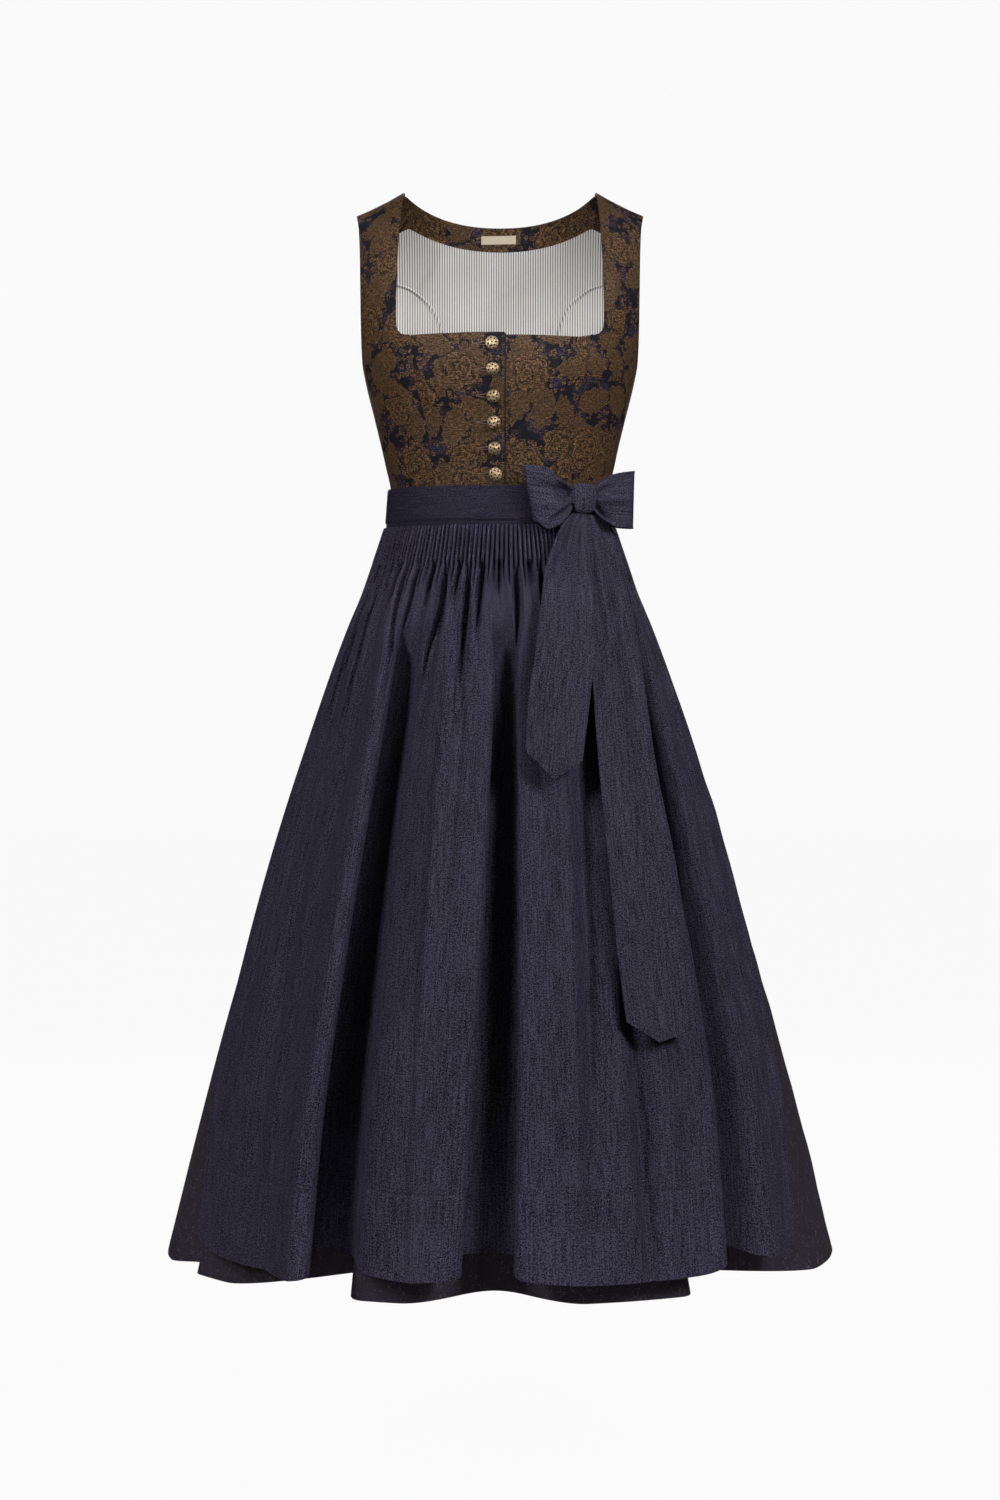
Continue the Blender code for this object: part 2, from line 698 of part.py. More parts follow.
def gather_depth(drape, q, z):
    """Small valleys below the gathered edge, of uneven depth and length."""
    pitch = drape.columns / drape.gathers
    number = math.floor(q / pitch + 0.5) % drape.gathers
    uneven = math.sin(number * 2.4) * math.sin(number * 1.1 + 0.7)
    start, end = drape.gather_start, drape.gather_end - 50 * uneven
    if not end < z < start:
        return 0.0
    share = (start - z) / (start - end)
    height = ease(share / 0.3) * ease((1 - share) / 0.7)
    wave = 0.5 + 0.5 * math.cos(2 * math.pi * q / pitch)
    return drape.gather_depth * (0.75 + 0.35 * uneven) * height * wave ** 1.5


def drape_point(drape, q, z, relief=0.0):
    angle = drape_angle(drape, q, z)
    ring = ring_at(drape.rings, z)
    place, normal, tangent = on_ring(ring, angle)
    inward, sideways = fold_shift(drape, q, z)
    inward += gather_depth(drape, q, z) - relief
    x, y = place - normal * inward + tangent * sideways
    progress = (drape.top_z - z) / (drape.top_z - drape.hem_z)
    side = abs(2 * q / drape.columns - 1) ** 6
    lift = progress * (HEM_LIFT_IN_FOLDS * inward + drape.side_lift * side)
    dip = FRONT_DIP * math.cos(angle) * (1 - progress) if drape is APRON else 0
    return np.array([x, y, z + lift - dip])


def apron_surface(q, z):
    return drape_point(APRON, q, z)


def skirt_surface(q, z):
    return drape_point(SKIRT, q, z)


def smocked_surface(q, z):
    """The apron's outer face, with fine pleats held by the smocking."""
    held = ease((z - SMOCKING_END_Z) / 2 + 1)
    return drape_point(APRON, q, z, PLEAT_RELIEF * held * abs(math.sin(math.pi * q)))


def make_skirt():
    half = SKIRT.columns // 4
    levels = (SKIRT.top_z, *SKIRT_LEVELS, SKIRT.hem_z)
    seam = 0.03
    front = even(2 * half, half + seam, 3 * half - seam)
    back = even(2 * half, 3 * half + seam, 5 * half - seam)
    panel("skirt_front", skirt_surface, [(z, front) for z in levels], SKIRT_CLOTH, jacquard)
    panel("skirt_back", skirt_surface, [(z, back) for z in levels], SKIRT_CLOTH, jacquard)


def make_apron():
    fine = even(2 * APRON.columns, 0, APRON.columns)
    coarse = even(APRON.columns, 0, APRON.columns)
    rows = [(APRON.top_z, fine), (SMOCKING_END_Z, fine)]
    rows += [(z, coarse) for z in (*APRON_LEVELS, APRON.hem_z)]
    cloth("apron_panel", smocked_surface, inset(apron_surface, APRON_CLOTH), rows, slub_silk)


def band_surface(top_z, height, layer):
    """A band round the waist: a is the angle in degrees, b runs from its lower edge up."""
    def surface(a, b):
        angle = math.radians(a)
        z = top_z - (1 - b) * height
        place, normal, _ = on_ring(ring_at(WAISTBAND_RINGS, z), angle)
        x, y = place + normal * layer
        return np.array([x, y, z - FRONT_DIP * math.cos(angle)])
    return surface


def make_bands():
    waistband = band_surface(WAISTBAND_TOP_Z, WAISTBAND_TOP_Z - APRON_TOP_Z - SEAM_GAP, 0)
    columns = even(40, -WAISTBAND_HALF_ANGLE, WAISTBAND_HALF_ANGLE)
    panel("apron_waistband", waistband, [(b, columns) for b in (1.0, 0.0)], TIE_CLOTH, slub_silk)
    tie = band_surface(TIE_TOP_Z, TIE_HEIGHT, TIE_CLOTH + SEAM_GAP)
    columns = even(72, -180, 180)
    rows = [(b, columns) for b in (1.0, 0.0)]
    panel("apron_tie", tie, rows, TIE_CLOTH, slub_silk, closed=True)


# Bow

def in_bow(along, outward, up):
    """Bow coordinates: along towards the viewer's right, outward from the body, and up."""
    turn = math.radians(BOW_TURN)
    x = BOW_CENTRE[0] + along * math.cos(turn) + outward * math.sin(turn)
    y = BOW_CENTRE[1] + along * math.sin(turn) - outward * math.cos(turn)
    return np.array([x, y, BOW_CENTRE[2] + up])


def loop_surface(outline, side, flare):
    """One loop: a runs from the knot along the front leaf and back behind it, b across it."""
    length = outline[-1].z

    def surface(a, b):
        turn = (a if side > 0 else 1 - a) * math.pi
        reach = math.sin(turn)
        distance = length * reach
        upper, lower = (through(outline, column, distance) for column in ("upper", "lower"))
        crease = 1.3 * math.cos(5 * math.pi * b) * (1 - reach) * ease(4 * (1 - reach))
        puff = (LOOP_HALF_GAP + LOOP_PUFF * signed_power(reach, 0.8)) * math.cos(turn)
        outward = puff + crease * math.sin(math.pi * b) + 2.5 * reach
        along = side * (KNOT_SIZE[0] / 2 + SEAM_GAP + distance * (1 - flare * (1 - b)))
        return in_bow(along, outward, lerp(lower, upper, b))
    return surface


def make_knot():
    """A soft, rounded wrap that holds the bow."""
    bpy.ops.mesh.primitive_uv_sphere_add(segments=16, ring_count=10, radius=1)
    knot = bpy.context.object
    knot.name = knot.data.name = "bow_knot"
    for vertex in knot.data.vertices:
        reach = sum(abs(value) ** KNOT_SQUARENESS for value in vertex.co) ** (1 / KNOT_SQUARENESS)
        along, outward, up = (
            value / reach * size / 2 for value, size in zip(vertex.co, KNOT_SIZE)
        )
        vertex.co = Vector(in_bow(along, outward, up)) * MM
    for collection in list(knot.users_collection):
        collection.objects.unlink(knot)
    dress.objects.link(knot)
    knot.data.materials.append(slub_silk)
    knot.data.shade_smooth()
    work = bmesh.new()
    work.from_mesh(knot.data)
    bmesh.ops.recalc_face_normals(work, faces=work.faces)
    work.to_mesh(knot.data)
    work.free()


def tail_surface(table, point, layer):
    """A free end of the tie, lying on the apron's flutes: a runs across it, b down to 0."""
    top_z, end_z = table[0].z, table[-1].z

    def surface(a, b):
        z = lerp(end_z, top_z, b)
        left, right = (through(table, column, z) for column in ("left", "right"))
        x = lerp(left, right, a)
        drop = point * (1 - abs(2 * a - 1)) + TAIL_SLANT * a
        z -= drop * ease(1 - 4 * b)
        ring = ring_at(APRON_RINGS, z)
        y = -ring.front * math.sqrt(1 - (TAIL_FLATNESS * x / ring.half_width) ** 2)
        crease = 1.2 * math.cos(4 * math.pi * a) * ease(1.4 * b)
        return np.array([x, y - layer - crease, z])
    return surface


def make_bow():
    across = even(5)
    path = even(16)
    rows = [(b, path) for b in reversed(across)]
    panel("bow_loop_centre", loop_surface(LOOP_CENTRE, -1, LOOP_CENTRE_FLARE), rows, TIE_CLOTH, slub_silk)
    panel("bow_loop_side", loop_surface(LOOP_SIDE, 1, LOOP_SIDE_FLARE), rows, TIE_CLOTH, slub_silk)
    make_knot()
    tail_rows = [(b, even(6)) for b in even(10)[::-1]]
    tail_long = tail_surface(TAIL_LONG, TAIL_LONG_POINT, 2 * TAIL_LAYER)
    tail_short = tail_surface(TAIL_SHORT, TAIL_SHORT_POINT, 4 * TAIL_LAYER)
    panel("bow_tail_long", tail_long, tail_rows, TIE_CLOTH, slub_silk)
    panel("bow_tail_short", tail_short, tail_rows, TIE_CLOTH, slub_silk)


clear_scene()
dress = bpy.data.collections.new("dirndl")
bpy.context.scene.collection.children.link(dress)
brocade = new_material("brocade", (0.13, 0.075, 0.03), 0.6)
lining = new_material("lining", (0.52, 0.52, 0.49), 0.8)
label = new_material("label", (0.75, 0.70, 0.58), 0.8)
brass = new_material("antique_brass", (0.55, 0.43, 0.25), 0.35, 1.0)
slub_silk = new_material("slub_silk", (0.033, 0.032, 0.068), 0.55)
jacquard = new_material("jacquard", (0.014, 0.010, 0.020), 0.6)
make_bodice()
make_buttons()
make_skirt()
make_apron()
make_bands()
make_bow()
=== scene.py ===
"""Looks of a sleeveless dirndl: brocade bodice, gathered skirt and tied apron, worn by no one.

Sizes are in millimetres, and `sew` and `add_mesh` turn them into metres. Every cloth is a grid
of points on the same surfaces as its solid, with finer relief, and a thin wall behind it.
"""

import json
import math
from collections import namedtuple
from functools import lru_cache

import bmesh
import bpy
import numpy as np
from mathutils import Matrix, Vector

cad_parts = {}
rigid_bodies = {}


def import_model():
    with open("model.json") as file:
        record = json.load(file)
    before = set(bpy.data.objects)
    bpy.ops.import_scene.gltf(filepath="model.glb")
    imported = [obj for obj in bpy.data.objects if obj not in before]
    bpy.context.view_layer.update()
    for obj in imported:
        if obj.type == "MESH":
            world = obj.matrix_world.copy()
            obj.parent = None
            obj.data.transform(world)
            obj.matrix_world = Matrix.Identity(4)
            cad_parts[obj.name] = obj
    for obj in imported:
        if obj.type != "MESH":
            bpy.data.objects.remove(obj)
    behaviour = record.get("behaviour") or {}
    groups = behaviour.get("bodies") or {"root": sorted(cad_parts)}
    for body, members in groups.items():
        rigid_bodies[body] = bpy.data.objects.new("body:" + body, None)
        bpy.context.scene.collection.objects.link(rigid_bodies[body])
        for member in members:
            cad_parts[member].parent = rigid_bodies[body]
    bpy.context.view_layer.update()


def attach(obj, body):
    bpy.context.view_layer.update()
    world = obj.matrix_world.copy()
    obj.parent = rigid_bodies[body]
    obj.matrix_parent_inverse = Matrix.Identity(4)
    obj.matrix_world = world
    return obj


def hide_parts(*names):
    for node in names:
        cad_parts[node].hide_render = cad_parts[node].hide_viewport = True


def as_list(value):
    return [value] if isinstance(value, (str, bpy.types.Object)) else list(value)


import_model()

MM = 0.001
PROBE = 1e-3  # step for a surface's slope, in its own units
BODY = "root"
# metres, as a flat side can't be stated under 0.01
SHORTEST_FLAT = 0.0101  # metres, the shortest flat length that sew gives a piece
# of its flat rectangle that a cloth can be stated to fill
LARGEST_SHARE = 0.999  # of its flat rectangle that sew lets a cloth's measured area fill

# Cloth walls, and the layers between them.
BROCADE = 1.5
BROCADE_WALL = 1.4
LINING = 1.0
SKIRT_CLOTH = 1.2
APRON_CLOTH = 1.0
TIE_CLOTH = 1.2
SEAM_GAP = 0.3
SEAM_HALF_ANGLE = math.radians(0.02)  # the dressed seams nearly touch
SEAM_DEPTH = 1.5
SEAM_WIDTH = 2.2
STILL_WIDTH = 7.0  # how far from a seam the ripples fade out

# Bodice landmarks.
WAIST_Z = -348.0
NECKLINE_Z = -171.0
NECK_POINT_X = 103.0
SHOULDER_TIP_X = 154.0
SHOULDER_TIP_Z = -26.0
SHOULDER_CURVE = 0.8
NECK_POINT_ROUNDING = 1.3
NECK_POINT_REACH = 2.2
SHOULDER_SEAM_Y = 4.0
FRONT_RISE_Z = -150.0
BACK_RISE_Z = -110.0
NECK_RISE = 95.0
BACK_NECK_DEPTH = 19.0
BACK_NECK_CURVE = 2.2
BACK_SEAM_RISE = 0.1
SIDE_SEAM_TOP_Z = -195.0
BACK_SEAM_TOP_Z = -83.0

# Front closure.
OVERLAP_EDGE_X = 5.0
UNDERLAP_EDGE_X = -20.0
OVERLAP_FROM_X = -46.0
OVERLAP_RAMP = 12.0
OVERLAP_HIGHER = 2.5
PLACKET_STITCH_X = 2.2
BUTTON_COUNT = 6
BUTTON_TOP = (-8.2, -183.0)
BUTTON_BOTTOM = (-4.8, -314.5)
BUTTON_GAP = 0.7
BUTTON_RADIUS = 6.3
BUTTON_MIDDLE = 3.9
BUTTON_FLATNESS = 0.6
BUTTON_TURN = 0.7  # each button is turned this much further than the one above
BUTTON_WIRES = ((88, 0.42), (58, 0.26), (19, 0.22))  # degrees from its top, wire radius
# The domes are near-black, painted as the shade inside the button's holes.
BUTTON_DOMES = ((1, 0, 0.95), (7, 42, 1.15), (10, 73, 1.0))  # number, degrees from its top, radius
BUTTONHOLE_START = 3.0
BUTTONHOLE_LENGTH = 15.0
PLACKET_EDGE_RADIUS = 0.8

# Neck facing and label.
FACING_MIDDLE = 26.0
FACING_WIDENING = -1.0
LABEL_HALF_WIDTH = 19.5
LABEL_HEIGHT = 9.0
LABEL_CLOTH = 0.8
LABEL_X = -1.6
LABEL_Z = -31.5
LABEL_SLANT = 0.02
LABEL_GAP = 0.5

# Skirt, apron, waistband and tie.
SKIRT_HEM_Z = -1132.0
APRON_TOP_Z = -362.3
SMOCKING_END_Z = -404.0
PLEAT_FADE_Z = -440.0
APRON_HEM_Z = -1105.0
HEM_LINE_Z = APRON_HEM_Z + 80.0
GATHERS_CALM_Z = -470.0  # below it, the apron's threads run straight down
APRON_SIDE_LIFT = 14.0
HEM_LIFT_IN_FOLDS = 0.07
GATHER_PUFF = 4.0  # how far the apron stands out below its smocking
GATHER_UNEVENNESS = 40.0
GATHER_SHARPNESS = 2.6
SHORT_GATHER_LENGTH = 0.36
SHORT_GATHER_DEPTH = 0.75
SIDE_GATHER_DEPTH = 0.7
HEM_SCALLOP = 17.0  # how far the apron's hem rises in its valleys
HEM_DROP = 3.0  # and how far it falls between them
SKIRT_GIVE = 11.0  # how far the hidden skirt gives way under the apron's gathers
SKIRT_GIVE_FROM_Z = -356.0
SKIRT_GIVE_TO_Z = -700.0
PLEAT_COUNT = 96
PLEAT_RELIEF = 2.2
PLEAT_SLIT = 5.0
WAISTBAND_TOP_Z = -325.0
WAISTBAND_HALF_ANGLE = 100.0
TIE_TOP_Z = -321.5
TIE_HEIGHT = 36.0
FRONT_DIP = 4.5

# Bow.
BOW_CENTRE = (86.0, -86.3, -339.0)
BOW_TURN = math.radians(25.0)
KNOT_SIZE = (29.0, 15.0, 32.0)
KNOT_SQUARENESS = 3.0
LOOP_START = KNOT_SIZE[0] / 2 - 1.5
LOOP_HALF_GAP = 1.9
LOOP_PUFF = 7.5
LOOP_CENTRE_FLARE = 0.22
LOOP_SIDE_FLARE = 0.04
TAIL_SLANT = 11.0
TAIL_FLATNESS = 0.9
TAIL_WIDTH = 62.0
TAIL_SHORT_POINT = 24.0
TAIL_SHORT_LAYER = 13.3
TAIL_LONG_POINT = 15.0
TAIL_LONG_LAYER = 6.9


def rows_of(kind, *rows):
    return tuple(kind(*row) for row in rows)


# A ring is a level of the body: half its width, its depths in front and behind, and the power
# that squares its outline.
Ring = namedtuple("Ring", "z half_width front back power")
BODICE_RINGS = rows_of(
    Ring,
    (-360, 117.5, 95, 90, 2.15),
    (-330, 116.5, 94, 89, 2.15),
    (-293, 123.5, 99, 92, 2.15),
    (-250, 133.5, 108, 96, 2.2),
    (-214, 142.5, 117.5, 99.5, 2.25),
    (-195, 146.5, 119, 101, 2.3),
    (-165, 154, 117, 104, 2.3),
    (-110, 163, 110, 107, 2.3),
    (-60, 168, 104, 106, 2.25),
    (100, 176, 96, 103, 2.2),
)
SKIRT_RINGS = rows_of(
    Ring,
    (-348, 117, 94.5, 89.5, 2),
    (-374, 121, 102, 98, 2),
    (-439, 145, 119, 118, 2),
    (-535, 181, 144, 148, 2),
    (-632, 214, 172, 176, 2),
    (-761, 257, 205, 211, 2),
    (-890, 295, 236, 243, 2),
    (-1019, 328, 264, 270, 2),
    (-1132, 355, 286, 292, 2),
)
APRON_RINGS = rows_of(
    Ring,
    (-360, 122, 102.5, 98, 2),
    (-410, 139, 119, 116, 2),
    (-471, 164, 144, 144, 2),
    (-568, 198, 180, 176, 2),
    (-697, 240, 220, 200, 2),
    (-826, 279, 257, 234, 2),
    (-955, 316, 291, 264, 2),
    (-1105, 347, 320, 290, 2),
)
WAISTBAND_RINGS = rows_of(
    Ring,
    (-320, 119.0, 98.6, 91.2, 2.15),
    (-370, 122.8, 104.2, 99.6, 2.08),
)

# An edge is a seam's or an opening's distance from the middle at a height.
Edge = namedtuple("Edge", "z x")
ARMHOLE_EDGE = rows_of(
    Edge,
    (-195, 146.5), (-180, 146.7), (-130, 147.0), (-89, 147.8), (-50, 150.0), (-26, 154.0),
)
FRONT_SEAM = rows_of(
    Edge,
    (-360, 73.5), (-300, 74.0), (-272, 75.2), (-245, 81.0), (-209, 91.0), (-171, 94.5),
)
STRAP_INNER_EDGE = rows_of(
    Edge,
    (-171, 94.5), (-168, 103.5), (-161, 108.0), (-150, 108.5), (-100, 107.5), (-26, 103.0),
)
BACK_SEAM = rows_of(
    Edge,
    (-360, 52), (-250, 56), (-170, 62), (-136, 66), (-118, 72), (-107, 79), (-98, 93), (-91, 116),
    (-83, 148.0),
)

# A fold is a valley round column `at`, from the height `start` down to the hem, where it lies at
# `hem_angle`. It leans sideways and pinches its mouth. One with a negative depth is a ridge.
Fold = namedtuple("Fold", "at span hem_angle half_angle start depth lean pinch")
SKIRT_FOLDS = rows_of(
    Fold,
    (54, 5, -1, 15, -500, 50, 0, 0),
    (43, 4, -36, 14, -460, 98, 34, 4),
    (67.5, 7, 48, 18, -410, 104, -58, 0),
    (33, 3, -67, 8, -520, 24, 0, 0),
    (25, 3, -97, 8, -440, 50, 12, 5),
    (83.5, 3, 98, 8, -440, 54, -12, 5),
    (17.5, 3, -123, 8, -420, 72, 8, 7),
    (91, 3, 122, 8, -430, 64, 10, 7),
    (9.5, 3, -148, 9, -425, 62, -12, 7),
    (98.5, 3, 149, 9, -420, 78, -12, 7),
    (2, 3, -174, 8, -430, 72, 10, 7),
)
APRON_FOLDS = rows_of(
    Fold,
    (26.4, 3.6, -36.8, 6.8, -440, -26, 36, 0),
    (32.4, 5.8, -26.8, 11.5, -440, 48, -45, 13),
    (49.4, 4.0, -1.8, 10.4, -440, 60, -4, 18),
    (78.5, 4.8, 45, 7, -440, 50, -20, 8),
)

Drape = namedtuple(
    "Drape",
    "rings folds columns first_angle last_angle hem_first hem_last top_z hem_z"
    " gathers gather_start gather_end gather_depth side_lift fold_growth fold_onset fold_sharpness",
)
SKIRT = Drape(
    rings=SKIRT_RINGS, folds=SKIRT_FOLDS, columns=108,
    first_angle=-180, last_angle=180, hem_first=-180, hem_last=180,
    top_z=WAIST_Z - SEAM_GAP, hem_z=SKIRT_HEM_Z,
    gathers=54, gather_start=-350, gather_end=-520, gather_depth=4.5, side_lift=0,
    fold_growth=0.75, fold_onset=90, fold_sharpness=2,
)
APRON = Drape(
    rings=APRON_RINGS, folds=APRON_FOLDS, columns=PLEAT_COUNT,
    first_angle=-WAISTBAND_HALF_ANGLE, last_angle=WAISTBAND_HALF_ANGLE,
    hem_first=-62, hem_last=58.5, top_z=APRON_TOP_Z, hem_z=APRON_HEM_Z,
    gathers=PLEAT_COUNT // 3, gather_start=SMOCKING_END_Z + 6, gather_end=-620, gather_depth=21,
    side_lift=APRON_SIDE_LIFT, fold_growth=0.36, fold_onset=70, fold_sharpness=1.9,
)

# The apron's gathers that run down far, by their number.
LONG_GATHERS = (1, 4, 6, 9, 12, 14, 17, 19, 22, 24, 27, 30)

# A tail's two edges at a height, and a loop's at a distance from the knot.
Tail = namedtuple("Tail", "z left right")
TAIL_SHORT = rows_of(
    Tail,
    (-355.2, 75, 90), (-368, 64, 90), (-413, 47, 93), (-455, 41, 97), (-500, 36, 96),
    (-545, 29, 91), (-600, 25, 82),
)
TAIL_LONG = rows_of(
    Tail,
    (-355.2, 84, 106), (-372, 80, 121), (-401, 80, 130), (-461, 86, 140), (-522, 93, 147),
    (-590, 97, 155), (-650, 102, 164), (-720, 108, 174), (-790, 114, 182), (-864, 123, 188),
)

Loop = namedtuple("Loop", "z upper lower")
LOOP_CENTRE = rows_of(
    Loop,
    (0, 13.0, -12.0), (12, 17.0, -24.0), (38, 31.5, -33.0), (57, 31.5, -26.0),
)
LOOP_SIDE = rows_of(
    Loop,
    (0, 14.0, -11.0), (9, 21.0, -20.0), (23, 27.5, -28.0), (45, 31.5, -29.5),
)

# A crease is a soft trough along column `at`, or a ridge where its depth is negative.
Crease = namedtuple("Crease", "at top bottom width depth lean")
APRON_CREASES = rows_of(
    Crease,
    (7, -430, -1000, 20, 6.0, -1.0),
    (12.5, -420, -820, 14, 6.5, -0.6),
    (17, -520, -1110, 26, 7.0, 0.8),
    (22, -415, -760, 12, 7.0, 0.4),
    (36.5, -415, -900, 14, 7.0, 0.5),
    (40, -470, -1150, 18, -5.0, 0.6),
    (42.5, -420, -780, 11, 6.0, 0.2),
    (54, -415, -1110, 15, 6.5, -0.5),
    (57.5, -560, -1150, 24, -5.0, 0.4),
    (61, -500, -1130, 18, 20.0, -3.6),
    (64, -800, -1180, 15, 15.0, 1.5),
    (70, -480, -1110, 26, 6.0, 0.8),
    (79.5, -375, -860, 8, 16.0, -0.5),
    (73, -415, -800, 12, 6.0, 0.0),
    (86, -420, -1000, 22, 7.0, -0.6),
    (91, -600, -1100, 26, 4.0, 0.6),
)
SKIRT_CREASES = rows_of(
    Crease,
    (29, -520, -1120, 26, 4.0, 0.3),
    (37.5, -600, -1130, 28, 4.5, -0.4),
    (49, -700, -1130, 24, 4.0, 0.4),
    (59, -700, -1130, 24, 4.0, 0.0),
    (75, -560, -1130, 30, 4.5, 0.4),
    (79.5, -480, -1000, 22, 4.0, -0.3),
    (87.3, -520, -1120, 20, 4.0, 0.3),
    (94.8, -560, -1130, 22, 5.0, -0.3),
    (103, -500, -1040, 24, 4.5, 0.2),
    (106, -640, -1130, 20, -4.0, 0.2),
    (21.2, -520, -1100, 22, 4.5, 0.3),
    (13.5, -600, -1130, 22, 4.0, -0.3),
    (6, -500, -1080, 20, -4.0, 0.3),
)

# A dent is an oval hollow in a bow piece, in millimetres along it and up, turned by degrees.
Dent = namedtuple("Dent", "along up length width turn depth")
LOOP_CENTRE_DENTS = rows_of(
    Dent,
    (12, 5, 10, 6.0, 20, 11.0),
    (8, 13, 14, 2.6, 28, -4.5),
    (14, -8, 18, 3.4, -38, -6.0),
    (25, -20, 16, 3.6, -32, 4.5),
    (34, 10, 18, 6.0, 10, 3.5),
    (44, -4, 12, 5.0, 70, 2.5),
)
LOOP_SIDE_DENTS = rows_of(
    Dent,
    (7, -14, 13, 3.2, -40, 7.0),
    (13, -23, 14, 2.8, -30, -5.0),
    (10, 10, 16, 3.0, 28, 5.0),
    (15, 0, 18, 3.2, 2, -3.5),
    (31, 14, 12, 5.0, 60, 2.5),
)


def lerp(start, end, t):
    return start + (end - start) * t


def ease(t):
    t = min(max(t, 0.0), 1.0)
    return t * t * (3 - 2 * t)


def signed_power(value, exponent):
    return math.copysign(abs(value) ** exponent, value)


@lru_cache(maxsize=None)
def curve_of(table, column):
    """A column's heights, values and slopes, for a smooth curve through its rows."""
    rows = sorted(table, key=lambda row: row.z)
    heights = np.array([row.z for row in rows], float)
    values = np.array([getattr(row, column) for row in rows], float)
    steps = np.diff(values) / np.diff(heights)
    slopes = np.concatenate(([steps[0]], np.zeros(len(rows) - 2), [steps[-1]]))
    for at in range(1, len(rows) - 1):
        if steps[at - 1] * steps[at] > 0:
            slopes[at] = 2 * steps[at - 1] * steps[at] / (steps[at - 1] + steps[at])
    return heights, values, slopes


@lru_cache(maxsize=None)
def through(table, column, z):
    """A named column of a table at height z, without overshoot between its rows."""
    heights, values, slopes = curve_of(table, column)
    at = int(np.clip(np.searchsorted(heights, z) - 1, 0, len(heights) - 2))
    span = heights[at + 1] - heights[at]
    t = float(np.clip((z - heights[at]) / span, 0, 1))
    return float(
        values[at] * (1 + 2 * t) * (1 - t) ** 2
        + slopes[at] * span * t * (1 - t) ** 2
        + values[at + 1] * t * t * (3 - 2 * t)
        + slopes[at + 1] * span * t * t * (t - 1)
    )


@lru_cache(maxsize=None)
def ring_at(table, z):
    return Ring(z, *(through(table, column, z) for column in Ring._fields[1:]))


def on_ring(ring, angle):
    """A point on a ring, its outward normal and its tangent, in the plane of the ring."""
    sine, cosine = math.sin(angle), math.cos(angle)
    depth = ring.front if cosine > 0 else ring.back
    x = ring.half_width * signed_power(sine, 2 / ring.power)
    y = -depth * signed_power(cosine, 2 / ring.power)
    normal = np.array([
        signed_power(x / ring.half_width, ring.power - 1) / ring.half_width,
        signed_power(y / depth, ring.power - 1) / depth,
    ])
    normal /= np.linalg.norm(normal)
    return np.array([x, y]), normal, np.array([-normal[1], normal[0]])


def inset(surface, distance):
    """The surface moved inwards along its normals."""
    def moved(a, b):
        along = np.subtract(surface(a + PROBE, b), surface(a - PROBE, b))
        up = np.subtract(surface(a, b + PROBE), surface(a, b - PROBE))
        normal = np.cross(along, up)
        return np.asarray(surface(a, b)) - normal * (distance / np.linalg.norm(normal))
    return moved


# Surfaces of the bodice

def rounding(x):
    return NECK_POINT_ROUNDING * math.exp(-abs(abs(x) - NECK_POINT_X) / NECK_POINT_REACH)


def shoulder_z(x):
    """Top of the body above a point at x: shoulder slope, then the base of the neck."""
    x = abs(x)
    if x >= NECK_POINT_X:
        share = (x - NECK_POINT_X) / (SHOULDER_TIP_X - NECK_POINT_X)
        return SHOULDER_TIP_Z * share ** SHOULDER_CURVE - rounding(x)
    return NECK_RISE * (1 - (x / NECK_POINT_X) ** 2) ** 1.5 - rounding(x)


def back_top_z(x):
    if abs(x) >= NECK_POINT_X:
        return shoulder_z(x)
    return -BACK_NECK_DEPTH * (1 - (abs(x) / NECK_POINT_X) ** BACK_NECK_CURVE) - rounding(x)


def facing_end_z(x):
    widening = FACING_WIDENING * min(abs(x) / NECK_POINT_X, 1.2)
    return back_top_z(x) - FACING_MIDDLE - widening


def turn_at(x, z, base):
    return math.asin(min(max((z - base) / (shoulder_z(x) - base), -1.0), 1.0))


def arch_turn(x, b, side):
    """The arch's angle at share b of its way; on the back, half-way is the facing's lower edge."""
    if side < 0:
        return b * math.pi / 2
    middle = turn_at(x, facing_end_z(x), BACK_RISE_Z)
    if b < 0.5:
        return 2 * b * middle
    return lerp(middle, turn_at(x, back_top_z(x), BACK_RISE_Z), 2 * b - 1)


def level_of(b, side):
    """Height at the armhole edge for b, in millimetres below the arch or shares of the arch."""
    base = FRONT_RISE_Z if side < 0 else BACK_RISE_Z
    if b <= 0:
        return base + b
    return base + (SHOULDER_TIP_Z - base) * math.sin(arch_turn(SHOULDER_TIP_X, b, side))


def spread_of_x(x, z):
    ring = ring_at(BODICE_RINGS, z)
    share = min(abs(x) / ring.half_width, 1.0)
    return math.copysign(math.asin(share ** (ring.power / 2)), x)


def spread_of(edge, z):
    return spread_of_x(through(edge, "x", z), z)


def at_turn(x, turn, side):
    """A point of the arch that takes the cloth over to the shoulder seam."""
    base = FRONT_RISE_Z if side < 0 else BACK_RISE_Z
    z = base + (shoulder_z(x) - base) * math.sin(turn)
    ring = ring_at(BODICE_RINGS, z)
    depth = ring.front if side < 0 else ring.back
    reach = depth * (1 - min(abs(x) / ring.half_width, 1.0) ** ring.power) ** (1 / ring.power)
    return np.array([x, lerp(SHOULDER_SEAM_Y, side * reach, math.cos(turn)), z])


def body_point(spread, b, side):
    level = level_of(b, side)
    ring = ring_at(BODICE_RINGS, level)
    x = ring.half_width * signed_power(math.sin(spread), 2 / ring.power)
    if b > 0:
        return at_turn(x, arch_turn(x, b, side), side)
    depth = ring.front if side < 0 else ring.back
    return np.array([x, side * depth * signed_power(math.cos(spread), 2 / ring.power), level])


def front(spread, b):
    return body_point(spread, b, -1)


def back(spread, b):
    return body_point(-spread, b, 1)


def raised_front(spread, b):
    """The front, raised over the closure where one side laps over the other."""
    point = front(spread, b)
    point[1] -= (BROCADE + SEAM_GAP) * ease((point[0] - OVERLAP_FROM_X) / OVERLAP_RAMP)
    return point


